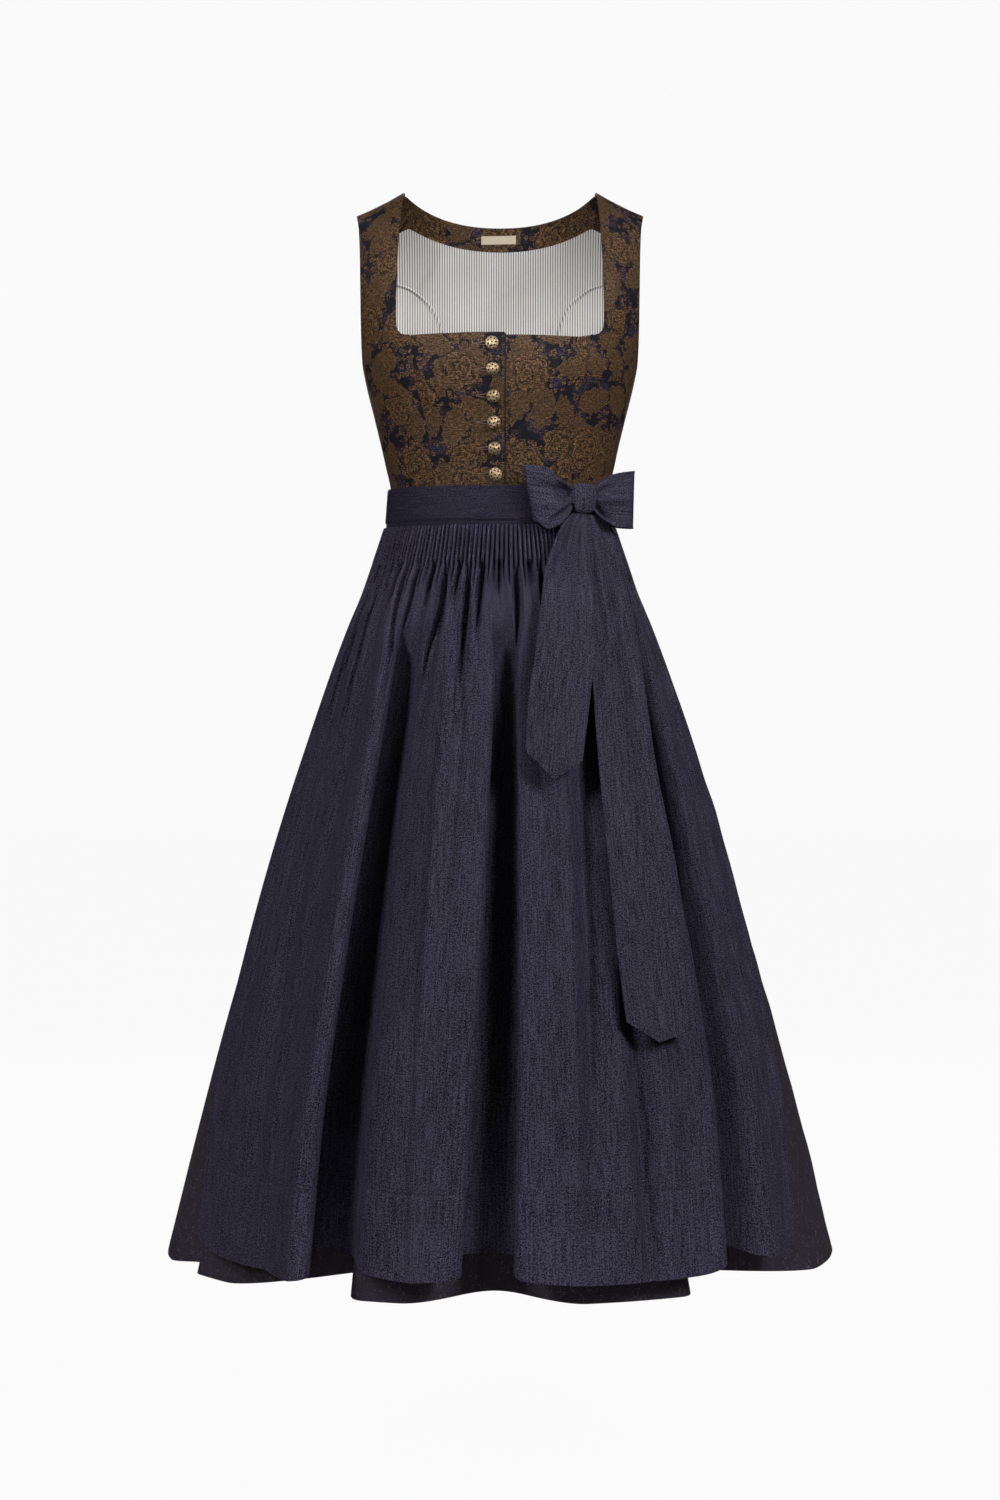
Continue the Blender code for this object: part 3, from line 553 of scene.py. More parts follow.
def placket_place(x, z):
    """Place on the front for a point that lies below the arch."""
    return spread_of_x(x, z), z - FRONT_RISE_Z


def outer_edge(level):
    if level <= SIDE_SEAM_TOP_Z:
        return math.pi / 2 + SEAM_HALF_ANGLE
    return spread_of(ARMHOLE_EDGE, level)


def side_front(a, b):
    """Place on the wearer's left side front and strap, from the princess seam outwards."""
    level = level_of(b, -1)
    inner = spread_of(FRONT_SEAM if level < NECKLINE_Z else STRAP_INNER_EDGE, level)
    inner += SEAM_HALF_ANGLE if level <= NECKLINE_Z else 0
    return lerp(inner, outer_edge(level), a), b


def centre_front(inner_x):
    def place(a, b):
        level = level_of(b, -1)
        end = spread_of(FRONT_SEAM, level) - SEAM_HALF_ANGLE
        return lerp(spread_of_x(inner_x, level), end, a), b
    return place


def centre_back(a, b):
    level = level_of(b, 1)
    if level < BACK_SEAM_TOP_Z:
        return a * (spread_of(BACK_SEAM, level) - SEAM_HALF_ANGLE), b
    return a * spread_of(ARMHOLE_EDGE, level), b


def side_back(a, b):
    """Place on the wearer's right side back, from the curved seam to the side seam."""
    level = level_of(b, 1)
    inner = spread_of(BACK_SEAM, level + BACK_SEAM_RISE) + SEAM_HALF_ANGLE
    return lerp(inner, outer_edge(level), a), b


def other_side(place):
    def mirrored(a, b):
        spread, b = place(1 - a, b)
        return -spread, b
    return mirrored


def label_surface(a, b):
    x = LABEL_X - a * LABEL_HALF_WIDTH
    z = LABEL_Z + (b - 0.5) * LABEL_HEIGHT + LABEL_SLANT * (x - LABEL_X)
    return at_turn(x, turn_at(x, z, BACK_RISE_Z), 1)


# Surfaces of the skirt, the apron and the bands

def valleys(drape):
    return [fold for fold in drape.folds if fold.depth > 0]


@lru_cache(maxsize=None)
def hem_stations(drape):
    """Columns and the angles that they reach at the hem."""
    closed = drape.last_angle - drape.first_angle == 360
    rounds = (-1, 0, 1) if closed else (0,)
    ends = {(0.0, drape.hem_first), (float(drape.columns), drape.hem_last)}
    stations = set() if closed else ends
    for fold in valleys(drape):
        for turn in rounds:
            for side in (-1, 0, 1):
                column = fold.at + side * fold.span + turn * drape.columns
                stations.add((column, fold.hem_angle + side * fold.half_angle + turn * 360))
    columns, angles = zip(*sorted(stations))
    return np.array(columns), np.array(angles)


def hem_angle(drape, q):
    return float(np.interp(q, *hem_stations(drape)))


def drape_angle(drape, q, z):
    top = lerp(drape.first_angle, drape.last_angle, q / drape.columns)
    progress = min(max((drape.top_z - z) / (drape.top_z - drape.hem_z), 0.0), 1.0)
    return math.radians(lerp(top, hem_angle(drape, q), progress ** 0.85))


def fold_shift(drape, q, z):
    """How far the folds move column q inwards and sideways at height z."""
    inward = sideways = 0.0
    for fold in drape.folds:
        away = (q - fold.at + drape.columns / 2) % drape.columns - drape.columns / 2
        across = away / fold.span
        if abs(across) >= 1 or z >= fold.start:
            continue
        grown = min((fold.start - z) / (fold.start - drape.hem_z), 1.0) ** drape.fold_growth
        grown *= ease((fold.start - z) / drape.fold_onset)
        bump = math.cos(math.pi * across / 2) ** drape.fold_sharpness
        inward += grown * fold.depth * bump
        if drape is APRON:
            bulge = math.sin(2 * math.pi * across)  # wider inside than at its mouth
        else:
            bulge = -math.sin(math.pi * across)
        sideways += grown * (fold.lean * bump + fold.pinch * bulge)
    return inward, sideways


def gather_depth(drape, q, z):
    """Valleys below the gathered edge, some of them long, of uneven depth and length."""
    pitch = drape.columns / drape.gathers
    number = math.floor(q / pitch + 0.5) % drape.gathers
    uneven = math.sin(number * 2.4) * math.sin(number * 1.1 + 0.7)
    long = number % 3 == 1 if drape is SKIRT else number in LONG_GATHERS
    length, depth = (1.0, 1.0) if long else (SHORT_GATHER_LENGTH, SHORT_GATHER_DEPTH)
    start = drape.gather_start
    end = start - ((start - drape.gather_end) * length + GATHER_UNEVENNESS * uneven)
    if not end < z < start:
        return 0.0
    share = (start - z) / (start - end)
    height = ease(share / 0.12) * ease((1 - share) / 0.85)
    wave = 0.5 + 0.5 * math.cos(2 * math.pi * (q / pitch + 0.16 * math.sin(number * 5.1)))
    depth = drape.gather_depth * depth * (0.8 + 0.3 * uneven)
    return depth * height * wave ** GATHER_SHARPNESS


def drape_point(drape, q, z, relief=0.0):
    """A point of the skirt or the apron, raised by a relief."""
    angle = drape_angle(drape, q, z)
    place, normal, tangent = on_ring(ring_at(drape.rings, z), angle)
    inward, sideways = fold_shift(drape, q, z)
    gathered = gather_depth(drape, q, z)
    inward -= relief
    turned = abs(math.degrees(angle))
    if drape is APRON:
        facing = ease((75 - turned) / 25)  # 1 in front and 0 at the sides
        gathered *= lerp(SIDE_GATHER_DEPTH, 1.0, facing)
        inward -= GATHER_PUFF * facing * ease((SMOCKING_END_Z - z) / 18) * ease((z + 560) / 130)
    else:
        covered = ease((88 - turned) / 20)
        given = SKIRT_GIVE * covered * ease((SKIRT_GIVE_FROM_Z - z) / 40)
        inward += given * ease((z - SKIRT_GIVE_TO_Z) / 140)
    inward += gathered
    x, y = place - normal * inward + tangent * sideways
    progress = (drape.top_z - z) / (drape.top_z - drape.hem_z)
    side = abs(2 * q / drape.columns - 1) ** 6
    lift = progress * (HEM_LIFT_IN_FOLDS * inward + drape.side_lift * side)
    if drape is SKIRT:
        return np.array([x, y, z + lift])
    near = sum(
        math.exp(-(((hem_angle(drape, q) - fold.hem_angle) / fold.half_angle / 0.75) ** 2))
        for fold in valleys(drape)
    )
    lift += progress ** 8 * (HEM_SCALLOP * min(near, 1.0) - HEM_DROP)
    return np.array([x, y, z + lift - FRONT_DIP * math.cos(angle) * (1 - progress)])


def skirt_surface(q, z):
    return drape_point(SKIRT, q, z)


def smocked_surface(q, z):
    """The apron's outer face: fine pleats held by the smocking, let go into the gathers."""
    held = ease((z - PLEAT_FADE_Z) / (SMOCKING_END_Z - PLEAT_FADE_Z))
    uneven = 0.85 + 0.15 * math.sin(2.3 * math.floor(q) + 1.0)
    crest = abs(math.sin(math.pi * q))
    slit = PLEAT_SLIT * lerp(0.4, 1.0, ease((APRON_TOP_Z - z) / 22))
    relief = PLEAT_RELIEF * crest ** 0.6 - slit * (1 - crest) ** 2
    return drape_point(APRON, q, z, relief * held * uneven)


def band_surface(top_z, height, layer):
    """A band round the waist: a is the angle in degrees, b runs from its lower edge up."""
    def surface(a, b):
        angle = math.radians(a)
        z = top_z - (1 - b) * height
        place, normal, _ = on_ring(ring_at(WAISTBAND_RINGS, z), angle)
        x, y = place + normal * layer
        return np.array([x, y, z - FRONT_DIP * math.cos(angle)])
    return surface


# Surfaces of the bow

def in_bow(along, outward, up):
    x = BOW_CENTRE[0] + along * math.cos(BOW_TURN) + outward * math.sin(BOW_TURN)
    y = BOW_CENTRE[1] + along * math.sin(BOW_TURN) - outward * math.cos(BOW_TURN)
    return np.array([x, y, BOW_CENTRE[2] + up])


def dented(dents, along, up):
    depth = 0.0
    for dent in dents:
        turn = math.radians(dent.turn)
        da, du = along - dent.along, up - dent.up
        s = (da * math.cos(turn) + du * math.sin(turn)) / dent.length
        t = (du * math.cos(turn) - da * math.sin(turn)) / dent.width
        depth += dent.depth * math.exp(-s * s - t * t)
    return depth


def loop_surface(outline, side, flare, dents):
    """One loop: a runs from the knot along the front leaf and back behind it, b across it."""
    length = outline[-1].z

    def surface(a, b):
        turn = (a if side > 0 else 1 - a) * math.pi
        reach = math.sin(turn)
        distance = length * reach
        upper, lower = (through(outline, column, distance) for column in ("upper", "lower"))
        up = lerp(lower, upper, b)
        crease = 1.3 * math.cos(5 * math.pi * b) * (1 - reach) * ease(4 * (1 - reach))
        puff = (LOOP_HALF_GAP + LOOP_PUFF * signed_power(reach, 0.8)) * math.cos(turn)
        outward = puff + crease * math.sin(math.pi * b) + 2.5 * reach
        if math.cos(turn) > 0:
            outward -= min(dented(dents, distance, up) * ease(math.cos(turn) * 3), 2 * puff - 1.5)
        along = side * (LOOP_START + distance * (1 - flare * (1 - b)))
        return in_bow(along, outward, up)
    return surface


def tail_surface(table, point, layer, pleats):
    """A free end of the tie, lying on the apron's flutes: a runs across it, b down to 0."""
    top_z, end_z = table[0].z, table[-1].z

    def surface(a, b):
        z = lerp(end_z, top_z, b)
        left, right = (through(table, column, z) for column in ("left", "right"))
        x = lerp(left, right, a)
        drop = point * (1 - abs(2 * a - 1)) + TAIL_SLANT * a
        z -= drop * ease(1 - 4 * b)
        ring = ring_at(APRON_RINGS, z)
        y = -ring.front * math.sqrt(1 - (TAIL_FLATNESS * x / ring.half_width) ** 2)
        crease = 1.2 * math.cos(4 * math.pi * a) * ease(1.4 * b)
        pleat = pleats * math.sin(5 * math.pi * a + 0.6)
        crease += pleat * ease((b - 0.55) / 0.45) * ease(8 * (1 - b))
        return np.array([x, y - layer - crease, z])
    return surface


# Sheets

class Sheet:
    """A grid of points on a surface, from the top row down and from the left column on."""

    def __init__(self, surface, levels, columns, closed=False):
        self.levels, self.columns = np.array(levels), np.array(columns)
        self.points = np.array([[surface(c, b) for c in columns] for b in levels])
        self.closed = closed
        self.measure()

    def measure(self):
        """Normals, and each point's way along its row and down its column."""
        points = self.points
        if self.closed:
            wide = np.concatenate((points[:, -2:-1], points, points[:, 1:2]), axis=1)
            right = np.gradient(wide, axis=1)[:, 1:-1]
        else:
            right = np.gradient(points, axis=1)
        down = np.gradient(points, axis=0)
        normals = np.cross(down, right)
        self.normals = normals / np.maximum(np.linalg.norm(normals, axis=2, keepdims=True), 1e-9)
        steps = np.linalg.norm(np.diff(points, axis=1), axis=2)
        self.across = np.pad(np.cumsum(steps, axis=1), ((0, 0), (1, 0)))
        steps = np.linalg.norm(np.diff(points, axis=0), axis=2)
        self.down = np.pad(np.cumsum(steps, axis=0), ((1, 0), (0, 0)))

    def lift(self, heights):
        self.points = self.points + self.normals * heights[..., None]
        self.measure()
        return self

    def from_side(self, side):
        """Each point's distance from the first or last column."""
        return self.across if side == "first" else self.across[:, -1:] - self.across

    def middle_down(self):
        return self.down[:, len(self.columns) // 2]


def even_threads(sheet, below):
    """The columns' places across the flat width, evened out between the gathers and the hem."""
    shares = sheet.across / sheet.across[:, -1:]
    return shares[sheet.levels < below].mean(axis=0) * sheet.across[-1, -1]


def trough(distance, width):
    return np.exp(-((distance / width) ** 2))


def sunk_seam(sheet, side, below=None, side_of_body=-1):
    """A panel's edge that rolls into its seam, on the rows below a height."""
    rows = np.ones(len(sheet.levels))
    if below is not None:
        heights = np.array([level_of(b, side_of_body) for b in sheet.levels])
        rows = (heights < below).astype(float)
    return -SEAM_DEPTH * trough(sheet.from_side(side), SEAM_WIDTH) * rows[:, None]


def both_edges(sheet, width):
    return trough(sheet.from_side("first"), width) + trough(sheet.from_side("last"), width)


def creased(sheet, creases):
    """Soft troughs that follow the columns."""
    heights = np.zeros(sheet.points.shape[:2])
    step = sheet.across[:, -1:] / (sheet.columns[-1] - sheet.columns[0])
    for crease in creases:
        t = (crease.top - sheet.levels) / (crease.top - crease.bottom)
        strength = np.clip(np.sin(np.pi * np.clip(t, 0, 1)), 0, 1) ** 0.7
        away = (sheet.columns[None, :] - crease.at - crease.lean * t[:, None]) * step
        heights -= crease.depth * trough(away, crease.width) * strength[:, None]
    return heights


def rippled(sheet, height, across, down, seed):
    """Slight unevenness of hanging cloth, from a few crossing waves."""
    u, v = sheet.across, sheet.down
    waves = (
        np.sin(u / across + 0.9 * np.sin(v / down + seed) + seed)
        + 0.6 * np.sin(u / (0.57 * across) - v / (1.7 * down) + 2.1 * seed)
        + 0.4 * np.sin(v / (0.6 * down) + 1.3 * np.sin(u / (1.4 * across) + seed))
    )
    return height * waves / 2


def still_at_seams(sheet):
    near = [trough(sheet.from_side(side), STILL_WIDTH) for side in ("first", "last")]
    return (1 - near[0]) * (1 - near[1])


def even(count, start=0.0, end=1.0):
    return [float(value) for value in np.linspace(start, end, count + 1)]


def edged(width, count, near=(0.5, 1.1, 1.9, 3.0, 4.6)):
    """Columns from 0 to 1 over a width, with some close to both edges for the rolled seams."""
    edge = [distance / width for distance in near]
    inner = even(count, 6.5 / width, 1 - 6.5 / width)
    return [0.0, *edge, *inner, *[1 - share for share in reversed(edge)], 1.0]


def on_body(surface, place):
    return lambda a, b: surface(*place(a, b))


# Making pieces

def place_in_scene(name, data):
    thing = bpy.data.objects.new(name, data)
    bpy.context.scene.collection.objects.link(thing)
    return thing


def add_mesh(name, points, faces, uvs=None):
    """A mesh object at the origin, from points in millimetres and one UV for each corner."""
    mesh = bpy.data.meshes.new(name)
    mesh.from_pydata([tuple(point) for point in np.asarray(points) * MM], [], faces)
    if uvs is not None:
        layer = mesh.uv_layers.new(name="cut")
        layer.data.foreach_set("uv", np.asarray(uvs, np.float32).ravel())
    return place_in_scene(name, mesh)


def select_only(*pieces):
    for other in bpy.context.scene.objects:
        other.select_set(False)
    for piece in pieces:
        piece.select_set(True)
    if pieces:
        bpy.context.view_layer.objects.active = pieces[0]


def face_outward(piece):
    select_only(piece)
    bpy.ops.object.mode_set(mode="EDIT")
    bpy.ops.mesh.select_all(action="SELECT")
    bpy.ops.mesh.normals_make_consistent(inside=False)
    bpy.ops.object.mode_set(mode="OBJECT")


def apply_modifier(piece, kind, **settings):
    select_only(piece)
    modifier = piece.modifiers.new(kind.title(), kind)
    for key, value in settings.items():
        setattr(modifier, key, value)
    bpy.ops.object.modifier_apply(modifier=modifier.name)


def dress(piece, slot, finishes, nodes=()):
    """Gives a finished piece its materials and its body, and hides the nodes that it stands for."""
    for finish in finishes:
        piece.data.materials.append(finish)
    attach(piece, BODY)
    if nodes:
        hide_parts(*nodes)
    return piece


def cord(name, points, radius, finish, closed=False):
    """A round thread through points."""
    curve = bpy.data.curves.new(name, "CURVE")
    curve.dimensions = "3D"
    curve.bevel_depth, curve.bevel_resolution = radius * MM, 2
    curve.use_fill_caps = not closed
    line = curve.splines.new("POLY")
    line.points.add(len(points) - 1)
    for vertex, point in zip(line.points, points):
        vertex.co = (*(point * MM), 1)
    line.use_cyclic_u = closed
    select_only(place_in_scene(name, curve))
    bpy.ops.object.convert(target="MESH")
    piece = bpy.context.object
    piece.data.shade_smooth()
    return dress(piece, "brocade", (finish,))


def sew(name, sheet, cloth, rests_on=(), threads=None, shift=(0, 0)):
    """A closed sheet of cloth for the node of that name, with its threads as its UV map.

    With the columns' places across the flat width as threads, they run down the columns, as in
    a gathered width. Without, they run straight through the panel, as in a piece cut to shape.
    The lining's hang upright. The shift moves the pattern on the piece, in millimetres.
    """
    rows, columns = sheet.points.shape[:2]
    kept = columns - 1 if sheet.closed else columns
    points = sheet.points[:, :kept].reshape(-1, 3)
    if threads is not None:
        u = np.broadcast_to(threads, (rows, columns))
    elif cloth.slot == "lining":
        u = -sheet.points[:, :, 0]
    else:
        u = sheet.across - sheet.across[:, columns // 2 : columns // 2 + 1]
    v = -np.broadcast_to(sheet.middle_down()[:, None], (rows, columns))
    plan = (np.stack((u, v), axis=2) + np.array(shift)) * MM
    faces, uvs = [], []
    for row in range(rows - 1):
        for column in range(columns - 1):
            corners = ((row, column), (row + 1, column), (row + 1, column + 1), (row, column + 1))
            faces.append([r * kept + c % kept for r, c in corners])
            uvs += [plan[r, c] for r, c in corners]
    piece = add_mesh(name + "_cloth", points, faces, uvs)
    piece.data.shade_smooth()
    apply_modifier(
        piece, "SOLIDIFY", thickness=cloth.wall * MM, offset=-1,
        material_offset=len(cloth.finishes) - 1, material_offset_rim=0,
    )
    piece.data.set_sharp_from_angle(angle=math.radians(50))
    dress(piece, cloth.slot, cloth.finishes, [name])
    width = sheet.across[:, -1].max() * MM
    length = max(sheet.middle_down()[-1] * MM, SHORTEST_FLAT)
    work = bmesh.new()
    work.from_mesh(piece.data)
    area = sum(face.calc_area() for face in work.faces) / 2
    work.free()
    area = min(area, LARGEST_SHARE * width * length)
    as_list(rests_on)
    return piece


# Finishes

class Socket:
    """A node's output in Python expressions, each of which adds its Math node."""

    def __init__(self, finish, socket):
        self.finish, self.socket = finish, socket

    def __add__(self, other):
        return self.finish.maths("ADD", self, other)

    def __sub__(self, other):
        return self.finish.maths("SUBTRACT", self, other)

    def __rsub__(self, other):
        return self.finish.maths("SUBTRACT", other, self)

    def __mul__(self, other):
        return self.finish.maths("MULTIPLY", self, other)

    def __truediv__(self, other):
        return self.finish.maths("DIVIDE", self, other)

    def __gt__(self, other):
        return self.finish.maths("GREATER_THAN", self, other)

    def __abs__(self):
        return self.finish.maths("ABSOLUTE", self)

    __radd__ = __add__
    __rmul__ = __mul__


class Finish:
    """A material with the nodes that feed its shader."""

    def __init__(self, name, **constants):
        self.material = bpy.data.materials.new(name)
        self.material.use_nodes = True
        self.tree = self.material.node_tree
        self.shader = self.tree.nodes["Principled BSDF"]
        for socket, value in constants.items():
            self.shader.inputs[socket.replace("_", " ")].default_value = value

    def node(self, kind, settings=(), sockets=(), output=0):
        made = self.tree.nodes.new("ShaderNode" + kind)
        for key, value in dict(settings).items():
            setattr(made, key, value)
        for key, value in dict(sockets).items():
            self.feed(made.inputs[key], value)
        return Socket(self, made.outputs[output])

    def feed(self, socket, value):
        if isinstance(value, Socket):
            self.tree.links.new(value.socket, socket)
        else:
            socket.default_value = value

    def maths(self, operation, *values):
        return self.node("Math", {"operation": operation}, enumerate(values))

    def vectors(self, operation, *values, **named):
        sockets = dict(enumerate(values)) | {key.title(): value for key, value in named.items()}
        output = 1 if operation == "LENGTH" else 0
        return self.node("VectorMath", {"operation": operation}, sockets, output)

    def cloth(self, stretch=(1, 1)):
        """The cut cloth's own coordinates in millimetres, each divided by its stretch."""
        plan = self.node("UVMap", {"uv_map": "cut"})
        scale = (1 / (MM * stretch[0]), 1 / (MM * stretch[1]), 1)
        return self.vectors("MULTIPLY", plan, scale)

    def place(self, size):
        """The piece's place in space, in units of a size in millimetres."""
        place = self.node("TexCoord", output=3)
        return self.vectors("SCALE", place, scale=1 / (MM * size))

    def noise(self, vector, detail=2.0, roughness=0.5, output=0):
        sockets = {"Vector": vector, "Scale": 1.0, "Detail": detail, "Roughness": roughness}
        return self.node("TexNoise", (), sockets, output)

    def fibres(self, across, down, *detail, **output):
        """Noise of a size across and down the cut, in millimetres."""
        return self.noise(self.cloth((across, down)), *detail, **output)

    def cells(self, vector, size, output, randomness):
        settings = {"voronoi_dimensions": "2D"}
        sockets = {"Vector": vector, "Scale": 1 / size, "Randomness": randomness}
        return self.node("TexVoronoi", settings, sockets, output)

    def split(self, vector):
        return [self.node("SeparateXYZ", (), {0: vector}, axis) for axis in range(3)]

    def soft(self, value, low, high):
        """From 0 at low to 1 at high, eased."""
        sockets = {"Value": value, "From Min": low, "From Max": high}
        return self.node("MapRange", {"interpolation_type": "SMOOTHSTEP"}, sockets)

    def mix(self, share, first, second):
        colours = [value if isinstance(value, Socket) else (*value, 1) for value in (first, second)]
        sockets = {0: share, 6: colours[0], 7: colours[1]}
        return self.node("Mix", {"data_type": "RGBA"}, sockets, 2)

    def bump(self, height, depth, strength=1.0):
        sockets = {"Height": height, "Distance": depth * MM, "Strength": strength}
        return self.node("Bump", (), sockets)

    def sine(self, value):
        return self.maths("SINE", value)

    def done(self, **sockets):
        for name, value in sockets.items():
            self.feed(self.shader.inputs[name.replace("_", " ")], value)
        return self.material


FULL_TURN = 6.2832
ROSE_CELL, LEAF_CELL, BUD_CELL = 62.0, 37.0, 6.5  # how far apart the motifs lie
LEAF_REACH = 24.0
PINSTRIPE = 2.75
BRONZE_DARK, BRONZE_LIGHT = (0.027, 0.0155, 0.0076), (0.100, 0.058, 0.028)
COPPER_DARK, COPPER_LIGHT = (0.040, 0.022, 0.0095), (0.20, 0.108, 0.046)
NAVY_DARK, NAVY_LIGHT = (0.0048, 0.0055, 0.0120), (0.0075, 0.0105, 0.046)
SLUB_DARK, SLUB_LIGHT = (0.0070, 0.0062, 0.0125), (0.113, 0.102, 0.168)
BAND_LIGHT, TIE_LIGHT = (0.045, 0.040, 0.072), (0.100, 0.091, 0.146)


def brocade_finish():
    """Roses, smooth leaves and buds in bronze and copper threads on a navy ground."""
    f = Finish("brocade_weave", Specular_IOR_Level=0.12)
    plan = f.cloth()
    drift = f.vectors("SUBTRACT", f.fibres(15, 15, 2.0, output=1), (0.5, 0.5, 0.5))
    plan = f.vectors("ADD", plan, f.vectors("SCALE", drift, scale=8.0))
    fringe = f.fibres(1.5, 2.2, 2.0, 0.7) - 0.5

    def motifs(size, randomness=0.85):
        """A motif's own place, chance and turn in each cell."""
        local = f.vectors("SUBTRACT", plan, f.cells(plan, size, 2, randomness))
        chance, spin, _ = f.split(f.cells(plan, size, 1, randomness))
        return local, chance, spin * FULL_TURN

    # Roses: scalloped petals that wind round the middle, fringed at their rims.
    local, chance, spin = motifs(ROSE_CELL)
    x, y, _ = f.split(local)
    radius = f.vectors("LENGTH", local)
    angle = f.maths("ARCTAN2", y, x)
    wave = f.sine(angle * 5 + spin)
    rim = chance * 12 + 15 + wave * 2.6 + f.sine(angle * 13 + spin) * 1.0 + fringe * 5
    rose = f.soft(rim - radius, 0.0, 0.8)
    petals = radius / 6.5 - angle / FULL_TURN + f.sine(angle * 4 - radius * 0.35) * 0.3
    petal = f.maths("FRACT", petals + fringe * 0.7)
    rose_tone = f.soft(petal, 0.06, 0.34)

    # Leaves: smooth broad ovals, each turned its own way, with a faint midrib.
    local, chance, spin = motifs(LEAF_CELL, 0.9)
    turned = f.node("VectorRotate", {"rotation_type": "Z_AXIS"}, {"Vector": local, "Angle": spin})
    x, y, _ = f.split(turned)
    blade = (1 - x * x / LEAF_REACH ** 2) * (chance * 6 + 9.5) + f.sine(x * 0.7) * 0.8
    inside = blade + fringe * 1.6 - abs(y)
    leaf = f.soft(inside, 0.0, 0.5)
    midrib = f.soft(0.6 - abs(y + f.sine(x * 0.3) * 0.8), 0.0, 0.3)
    midrib = midrib * f.soft(inside, 2.0, 3.0)
    leaf_rim = f.soft(1.5 - inside, 0.0, 1.2)

    # Fringed buds in clusters that fill the ground.
    local, chance, spin = motifs(BUD_CELL, 0.9)
    x, y, _ = f.split(local)
    radius = f.vectors("LENGTH", local)
    lobes = f.sine(f.maths("ARCTAN2", y, x) * 7 + spin)
    cluster = f.soft(f.fibres(24, 24, 1.0), 0.36, 0.44)
    bud = f.soft(lobes * 0.5 + 2.7 + fringe * 4 - radius, 0.0, 0.5) * (chance > 0.3) * cluster
    bud_tone = f.soft(radius, 0.5, 1.5)

    # Threads: fine upright and crosswise mottling, and copper ones that come up in places.
    ribs = f.fibres(4.5, 1.2, 1.0)
    warp = f.fibres(1.2, 4.0, 1.0)
    grain = f.fibres(1.2, 1.2, 2.0)
    patch = f.fibres(16, 16, 2.0)
    weave = f.soft(ribs * 0.36 + warp * 0.34 + grain * 0.3, 0.42, 0.58)
    glint = f.soft(ribs * 0.5 + grain * 0.5, 0.50, 0.60)

    smooth = f.mix(weave, BRONZE_DARK, BRONZE_LIGHT)
    copper = f.mix(weave, COPPER_DARK, COPPER_LIGHT)
    dark = (0.006, 0.0045, 0.0055)
    rosy = f.mix(f.soft(petal, 0.3, 0.95), smooth, copper)
    rosy = f.mix(rose_tone * (0.6 + weave * 0.4), dark, rosy)
    budding = f.mix(bud_tone * (0.4 + weave * 0.6), dark, copper)
    leafy = f.mix(midrib * 0.4, smooth, (0.030, 0.020, 0.015))
    leafy = f.mix(leaf_rim * (0.25 + glint * 0.75), leafy, copper)
    ground = f.mix(f.soft(patch, 0.52, 0.66), NAVY_DARK, NAVY_LIGHT)
    ground = f.mix(weave * 0.35, ground, (0.015, 0.014, 0.020))
    colour = f.mix(bud, ground, budding)
    colour = f.mix(leaf, colour, leafy)
    colour = f.mix(rose, colour, rosy)
    colour = f.mix(glint * f.soft(patch, 0.46, 0.58) * 0.4, colour, (0.20, 0.105, 0.042))
    motif = f.maths("MAXIMUM", f.maths("MAXIMUM", rose, leaf), bud)
    height = motif * 0.5 + rose_tone * rose * 0.3 + weave * 0.5
    return f.done(Base_Color=colour, Roughness=0.7 - motif * 0.14, Normal=f.bump(height, 0.18, 0.6))


def slub_finish(name, dark, light, along=False):
    """Shot silk with slubs that run down the cut, or along it for a band."""
    f = Finish(name, Sheen_Weight=0.01, Sheen_Roughness=0.4, Specular_IOR_Level=0.07)
    f.shader.inputs["Sheen Tint"].default_value = (0.55, 0.55, 0.8, 1)

    def cloth(across, down):
        return f.cloth((down, across) if along else (across, down))

    warp = f.noise(cloth(1.6, 34), 1.0, 0.6)
    weft = f.noise(cloth(6, 1.3), 1.0, 0.6)
    grain = f.noise(cloth(1.3, 1.3), 1.0, 0.7)
    slub = f.soft(f.noise(cloth(1.7, 70), 1.0), 0.60, 0.72)
    fleck = f.soft(f.noise(cloth(1.4, 1.6), 1.0), 0.58, 0.68)
    broad = f.noise(cloth(30, 160), 2.0)
    tone = f.soft(warp * 0.24 + weft * 0.2 + grain * 0.56, 0.42, 0.58) * 0.62
    tone = tone + slub * 0.1 + fleck * 0.5 + (broad - 0.5) * 0.2
    colour = f.mix(f.maths("MINIMUM", f.maths("MAXIMUM", tone, 0.0), 1.0), dark, light)
    height = warp * 0.5 + weft * 0.3 + grain * 0.5 + slub * 0.4
    return f.done(Base_Color=colour, Roughness=0.62 - slub * 0.1, Normal=f.bump(height, 0.1, 0.8))


def jacquard_finish():
    """Nearly black plum cloth with faint scribbled figures."""
    f = Finish("skirt_jacquard", Sheen_Weight=0.02, Specular_IOR_Level=0.15)
    drift = f.vectors("SUBTRACT", f.fibres(20, 20, 2.0, output=1), (0.5, 0.5, 0.5))
    plan = f.vectors("ADD", f.cloth((13, 16)), f.vectors("SCALE", drift, scale=1.2))
    figure = f.noise(plan, 2.0, 0.6)
    line = f.soft(0.035 - abs(f.maths("FRACT", figure * 4) - 0.5), 0.0, 0.03)
    twill = f.fibres(0.5, 1.6, 2.0)
    grain = f.fibres(1.4, 1.1, 2.0, 0.7)
    tone = f.soft(twill * 0.4 + grain * 0.6, 0.36, 0.66)
    colour = f.mix(tone, (0.0155, 0.0122, 0.018), (0.062, 0.050, 0.074))
    colour = f.mix(line * (0.3 + tone * 0.7), colour, (0.20, 0.178, 0.275))
    height = twill * 0.5 + line * 0.6
    return f.done(Base_Color=colour, Roughness=0.68 - line * 0.1, Normal=f.bump(height, 0.2, 0.6))


